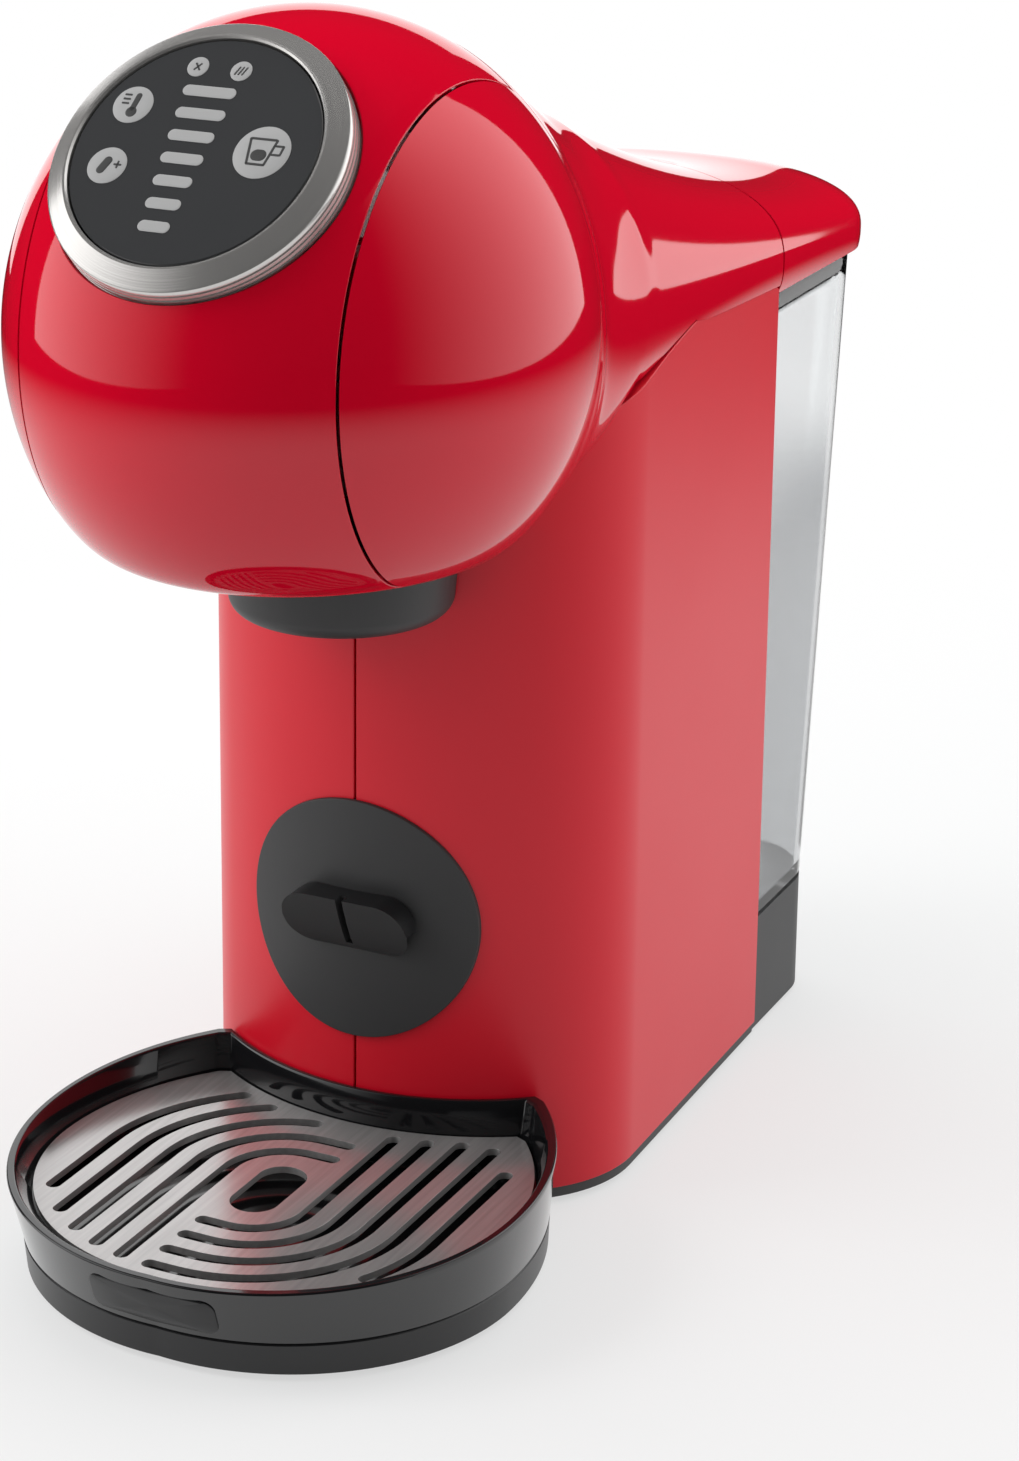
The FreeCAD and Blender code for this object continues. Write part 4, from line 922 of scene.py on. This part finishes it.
class COFFEE_OT_tank(bpy.types.Operator):
    """Clear water tank with its wall, floor and rim"""
    bl_idname = "coffee.tank"
    bl_label = "Water tank"

    def execute(self, context):
        rows, wall, lip, soft, rear_gap, taper = 30, 2.2, 1.6, 0.8, 5.0, 19.0
        floor = TANK_LOW + 2.6
        heights = np.linspace(TANK_LOW + soft, TANK_TOP - soft, rows)
        rear = REAR - rear_gap - taper * (TANK_TOP - heights) / (TANK_TOP - TANK_LOW)
        inner_heights = np.linspace(TANK_TOP - soft, floor + soft, rows)
        outer = [tank_loop(r, 0, h) for r, h in zip(rear, heights)]
        inner = [tank_loop(r, wall, h) for r, h in zip(rear[::-1], inner_heights)]
        middle_y = (TANK_FRONT + rear[0]) / 2

        def drawn_in(loop, shares, height):
            """A loop drawn in towards the tank's middle at a height."""
            level = loop * [1, 1, 0] + [0, 0, height]
            return between(np.array([0, middle_y, height]), level, shares)

        loops = drawn_in(outer[0], (CLOSED, 0.6, 0.985), TANK_LOW) + outer
        loops += drawn_in(outer[-1], (0.99,), TANK_TOP) + [tank_loop(rear[-1], lip, TANK_TOP)] + inner
        loops += drawn_in(inner[-1], (0.98, 0.6, CLOSED), floor)
        piece("tank_wall", [np.stack(loops)], self.clear_plastic(), "tank", ("water_tank",),
              sharp=40)
        return {"FINISHED"}

    @staticmethod
    def clear_plastic():
        """Clear plastic with a faint haze, greyer below the line where the tint changes."""
        material, tree, principled = shader("tank_clear", Transmission_Weight=1.0, IOR=1.36,
                                            Specular_IOR_Level=0.25)
        place = add_node(tree, "TexCoord").outputs["Object"]
        haze = add_node(tree, "TexNoise", {"Scale": 40.0}, {"Vector": place})
        spread = add_node(tree, "MapRange", {"To Min": 0.02, "To Max": 0.08}, {"Value": haze.outputs["Fac"]})
        height = add_node(tree, "SeparateXYZ", feeds={"Vector": place}).outputs["Z"]
        tint = add_node(
            tree, "MapRange",
            {"From Min": (0.125,) * 3, "From Max": (0.155,) * 3, "To Min": (0.60, 0.61, 0.62),
             "To Max": (0.95, 0.96, 0.965)},
            {"Vector": height}, data_type="FLOAT_VECTOR", interpolation_type="SMOOTHSTEP")
        connect(tree, principled, {"Roughness": spread.outputs["Result"],
                                   "Base Color": tint.outputs["Vector"]})
        return material


class COFFEE_OT_small_parts(bpy.types.Operator):
    """Feet, screws, pin and the working parts inside keep their CAD form and get their finishes"""
    bl_idname = "coffee.small_parts"
    bl_label = "Feet and inner parts"

    def execute(self, context):
        inner = moulded("pale_moulding", (0.62, 0.61, 0.58), 0.45, 0.6, grain=1800.0, depth=0.06, shade=0.15)
        board = moulded("board_green", (0.04, 0.2, 0.08), 0.3, 0.45, grain=900.0, depth=0.05, shade=0.3)
        cast = brushed("cast_alloy", (0.52, 0.52, 0.53), 0.35, 0.5, (400, 400, 400), depth=0.1)
        finishes = [(rubber(), ("body_feet", "dock_feet", "tray_feet", "pressure_hose", "inlet_hose",
                                "outlet_hose")),
                    (plain_steel(), ("case_screws", "hinge_pin", "piercing_needle")),
                    (cast, ("water_heater", "brew_head")), (board, ("circuit_board",)),
                    (inner, ("inner_chassis", "water_pump", "tank_valve")),
                    (dark_grey(), ("dial_hub", "capsule_holder"))]
        for material, nodes in finishes:
            for node in nodes:
                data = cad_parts[node].data
                data.materials.clear()
                data.materials.append(material)
        return {"FINISHED"}


class COFFEE_OT_stage(bpy.types.Operator):
    """Pale floor, soft studio lights, white surroundings and the camera"""
    bl_idname = "coffee.stage"
    bl_label = "Studio"

    def execute(self, context):
        scene = context.scene
        scene.view_settings.view_transform = "Standard"
        self.floor()
        self.world(scene)
        self.lamp("panel_left", (-0.61, -0.66, 0.60), (0, -0.07, 0.55), (1.66, 1.15), 11.0, grade=(0.95, 0.2))
        self.lamp("panel_right", (0.75, 0.20, 0.72), (0, -0.07, 0.72), (1.98, 1.36), 16.0, grade=(0.1, 0.75))
        self.lamp("panel_back", (-0.30, 0.36, 0.27), (0, -0.05, 0.1), (0.5, 0.3), 0.6)
        self.lamp("wash_top", (-0.1, 0.25, 1.25), (0, 0, 0.1), (1.1, 0.8), 8.0, mirrored=False)
        self.lamp("wash_left", (-0.9, -0.6, 0.9), (0, -0.05, 0.15), (0.6, 0.6), 5.5, mirrored=False)
        self.camera(scene)
        return {"FINISHED"}

    @staticmethod
    def lamp(name, place, aim, size, power, mirrored=True, grade=None):
        """Softbox at a place, aimed at a point; a wash lights the object without showing in its gloss.

        A grade gives the shares of its width between which its light rises from none to full.
        """
        data = bpy.data.lights.new(name, "AREA")
        data.shape = "RECTANGLE"
        data.size, data.size_y = size
        data.energy = power
        if grade:
            data.use_nodes = True
            tree = data.node_tree
            spot = add_node(tree, "NewGeometry").outputs["Parametric"]
            across = add_node(tree, "SeparateXYZ", feeds={"Vector": spot}).outputs["X"]
            rise = add_node(tree, "MapRange", {"From Min": grade[0], "From Max": grade[1]}, {"Value": across},
                            interpolation_type="SMOOTHSTEP")
            connect(tree, tree.nodes["Emission"], {"Strength": rise.outputs["Result"]})
        obj = bpy.data.objects.new(name, data)
        obj.location = place
        obj.rotation_euler = (Vector(aim) - Vector(place)).to_track_quat("-Z", "Y").to_euler()
        obj.visible_camera = False
        obj.visible_glossy = mirrored
        bpy.context.scene.collection.objects.link(obj)

    @staticmethod
    def dimmed(tree, amount):
        """Strength of a white surround: 1, less an amount in mirror images, as the room is dark beyond it."""
        rays = add_node(tree, "LightPath").outputs
        mirror = combine(tree, "SUBTRACT", rays["Is Glossy Ray"], rays["Is Transmission Ray"], use_clamp=True)
        return combine(tree, "SUBTRACT", 1.0, combine(tree, "MULTIPLY", mirror, amount))

    @staticmethod
    def seen_directly(tree):
        """1 for camera, glossy and transmission rays."""
        rays = add_node(tree, "LightPath").outputs
        first = combine(tree, "MAXIMUM", rays["Is Camera Ray"], rays["Is Glossy Ray"])
        return combine(tree, "MAXIMUM", first, rays["Is Transmission Ray"])

    def floor(self):
        """Flat square, lit near the machine and fading into the white surround away from it."""
        span = np.linspace(-4.0, 4.0, 3)
        x, y = np.meshgrid(span, span)
        mesh = bpy.data.meshes.new("floor")
        points = np.stack([x, y, 0 * x], -1).reshape(-1, 3)
        mesh.from_pydata(points.tolist(), [], grid_faces(3, 3, 0).tolist())
        obj = bpy.data.objects.new("floor", mesh)
        bpy.context.scene.collection.objects.link(obj)
        material, tree, principled = shader("pale_floor", Roughness=0.9, Base_Color=(0.62, 0.63, 0.63, 1))
        place = add_node(tree, "TexCoord").outputs["Object"]
        away = add_node(tree, "VectorMath", feeds={0: place}, operation="LENGTH").outputs["Value"]
        fade = add_node(tree, "MapRange", {"From Min": 0.14, "From Max": 0.5, "To Min": 0.6, "To Max": 1.0},
                        {"Value": away}, interpolation_type="SMOOTHSTEP")
        far = add_node(tree, "MapRange", {"From Min": 0.4, "From Max": 0.85, "To Max": 0.99}, {"Value": away},
                       interpolation_type="SMOOTHSTEP")
        glow = add_node(tree, "Emission", feeds={"Strength": self.dimmed(tree, far.outputs["Result"])})
        amount = combine(tree, "MULTIPLY", fade.outputs["Result"], self.seen_directly(tree))
        mix = add_node(tree, "MixShader", feeds={
            "Fac": amount, 1: principled.outputs["BSDF"], 2: glow.outputs["Emission"]})
        connect(tree, tree.nodes["Material Output"], {"Surface": mix.outputs["Shader"]})
        mesh.materials.append(material)

    def world(self, scene):
        """White surround where it is seen directly, and a softer white for the light it gives."""
        world = bpy.data.worlds.new("studio")
        scene.world = world
        world.use_nodes = True
        world.cycles.sampling_method = "NONE"
        tree = world.node_tree
        light = tree.nodes["Background"]
        light.inputs["Color"].default_value = (1, 1, 1, 1)
        light.inputs["Strength"].default_value = 0.42
        white = add_node(tree, "Background", {"Color": (1, 1, 1, 1)}, {"Strength": self.dimmed(tree, 0.985)})
        mix = add_node(tree, "MixShader", feeds={
            "Fac": self.seen_directly(tree), 1: light.outputs["Background"], 2: white.outputs["Background"]})
        connect(tree, tree.nodes["World Output"], {"Surface": mix.outputs["Shader"]})

    @staticmethod
    def camera(scene):
        around, above, far = math.radians(27.78), math.radians(17.4), 0.8238
        target = Vector((0.0, -0.0480, 0.1519))
        level = math.cos(above)
        back = Vector((math.sin(around) * level, -math.cos(around) * level, math.sin(above)))
        data = bpy.data.cameras.new("camera")
        data.sensor_width = 36.0
        data.lens = 94.43
        data.shift_x = 0.1044
        data.shift_y = -0.1218
        data.clip_start = 0.05
        obj = bpy.data.objects.new("camera", data)
        obj.location = target + back * far
        obj.rotation_euler = (-back).to_track_quat("-Z", "Y").to_euler()
        scene.collection.objects.link(obj)
        scene.camera = obj


class COFFEE_PT_panel(bpy.types.Panel):
    """Sizes, colours and the pieces in order"""
    bl_idname = "COFFEE_PT_panel"
    bl_label = "Pod coffee machine"
    bl_space_type = "VIEW_3D"
    bl_region_type = "UI"
    bl_category = "Coffee"

    def draw(self, context):
        for group in (context.scene.machine_sizes, context.scene.machine_colours):
            for name in group.bl_rna.properties.keys():
                if name not in ("rna_type", "name"):
                    self.layout.prop(group, name)
        for operator in STEPS:
            self.layout.operator(operator.bl_idname)


STEPS = (COFFEE_OT_stage, COFFEE_OT_head, COFFEE_OT_visor, COFFEE_OT_dial, COFFEE_OT_lid, COFFEE_OT_column,
         COFFEE_OT_dark_parts, COFFEE_OT_tray, COFFEE_OT_grille, COFFEE_OT_tank, COFFEE_OT_small_parts)
CLASSES = (MachineSizes, MachineColours) + STEPS + (COFFEE_PT_panel,)


def register():
    for item in CLASSES:
        bpy.utils.register_class(item)
    bpy.types.Scene.machine_sizes = bpy.props.PointerProperty(type=MachineSizes)
    bpy.types.Scene.machine_colours = bpy.props.PointerProperty(type=MachineColours)


def unregister():
    del bpy.types.Scene.machine_colours
    del bpy.types.Scene.machine_sizes
    for item in reversed(CLASSES):
        bpy.utils.unregister_class(item)


def main():
    register()
    for operator in STEPS:
        family, name = operator.bl_idname.split(".")
        getattr(getattr(bpy.ops, family), name)()


if __name__ == "__main__":
    main()
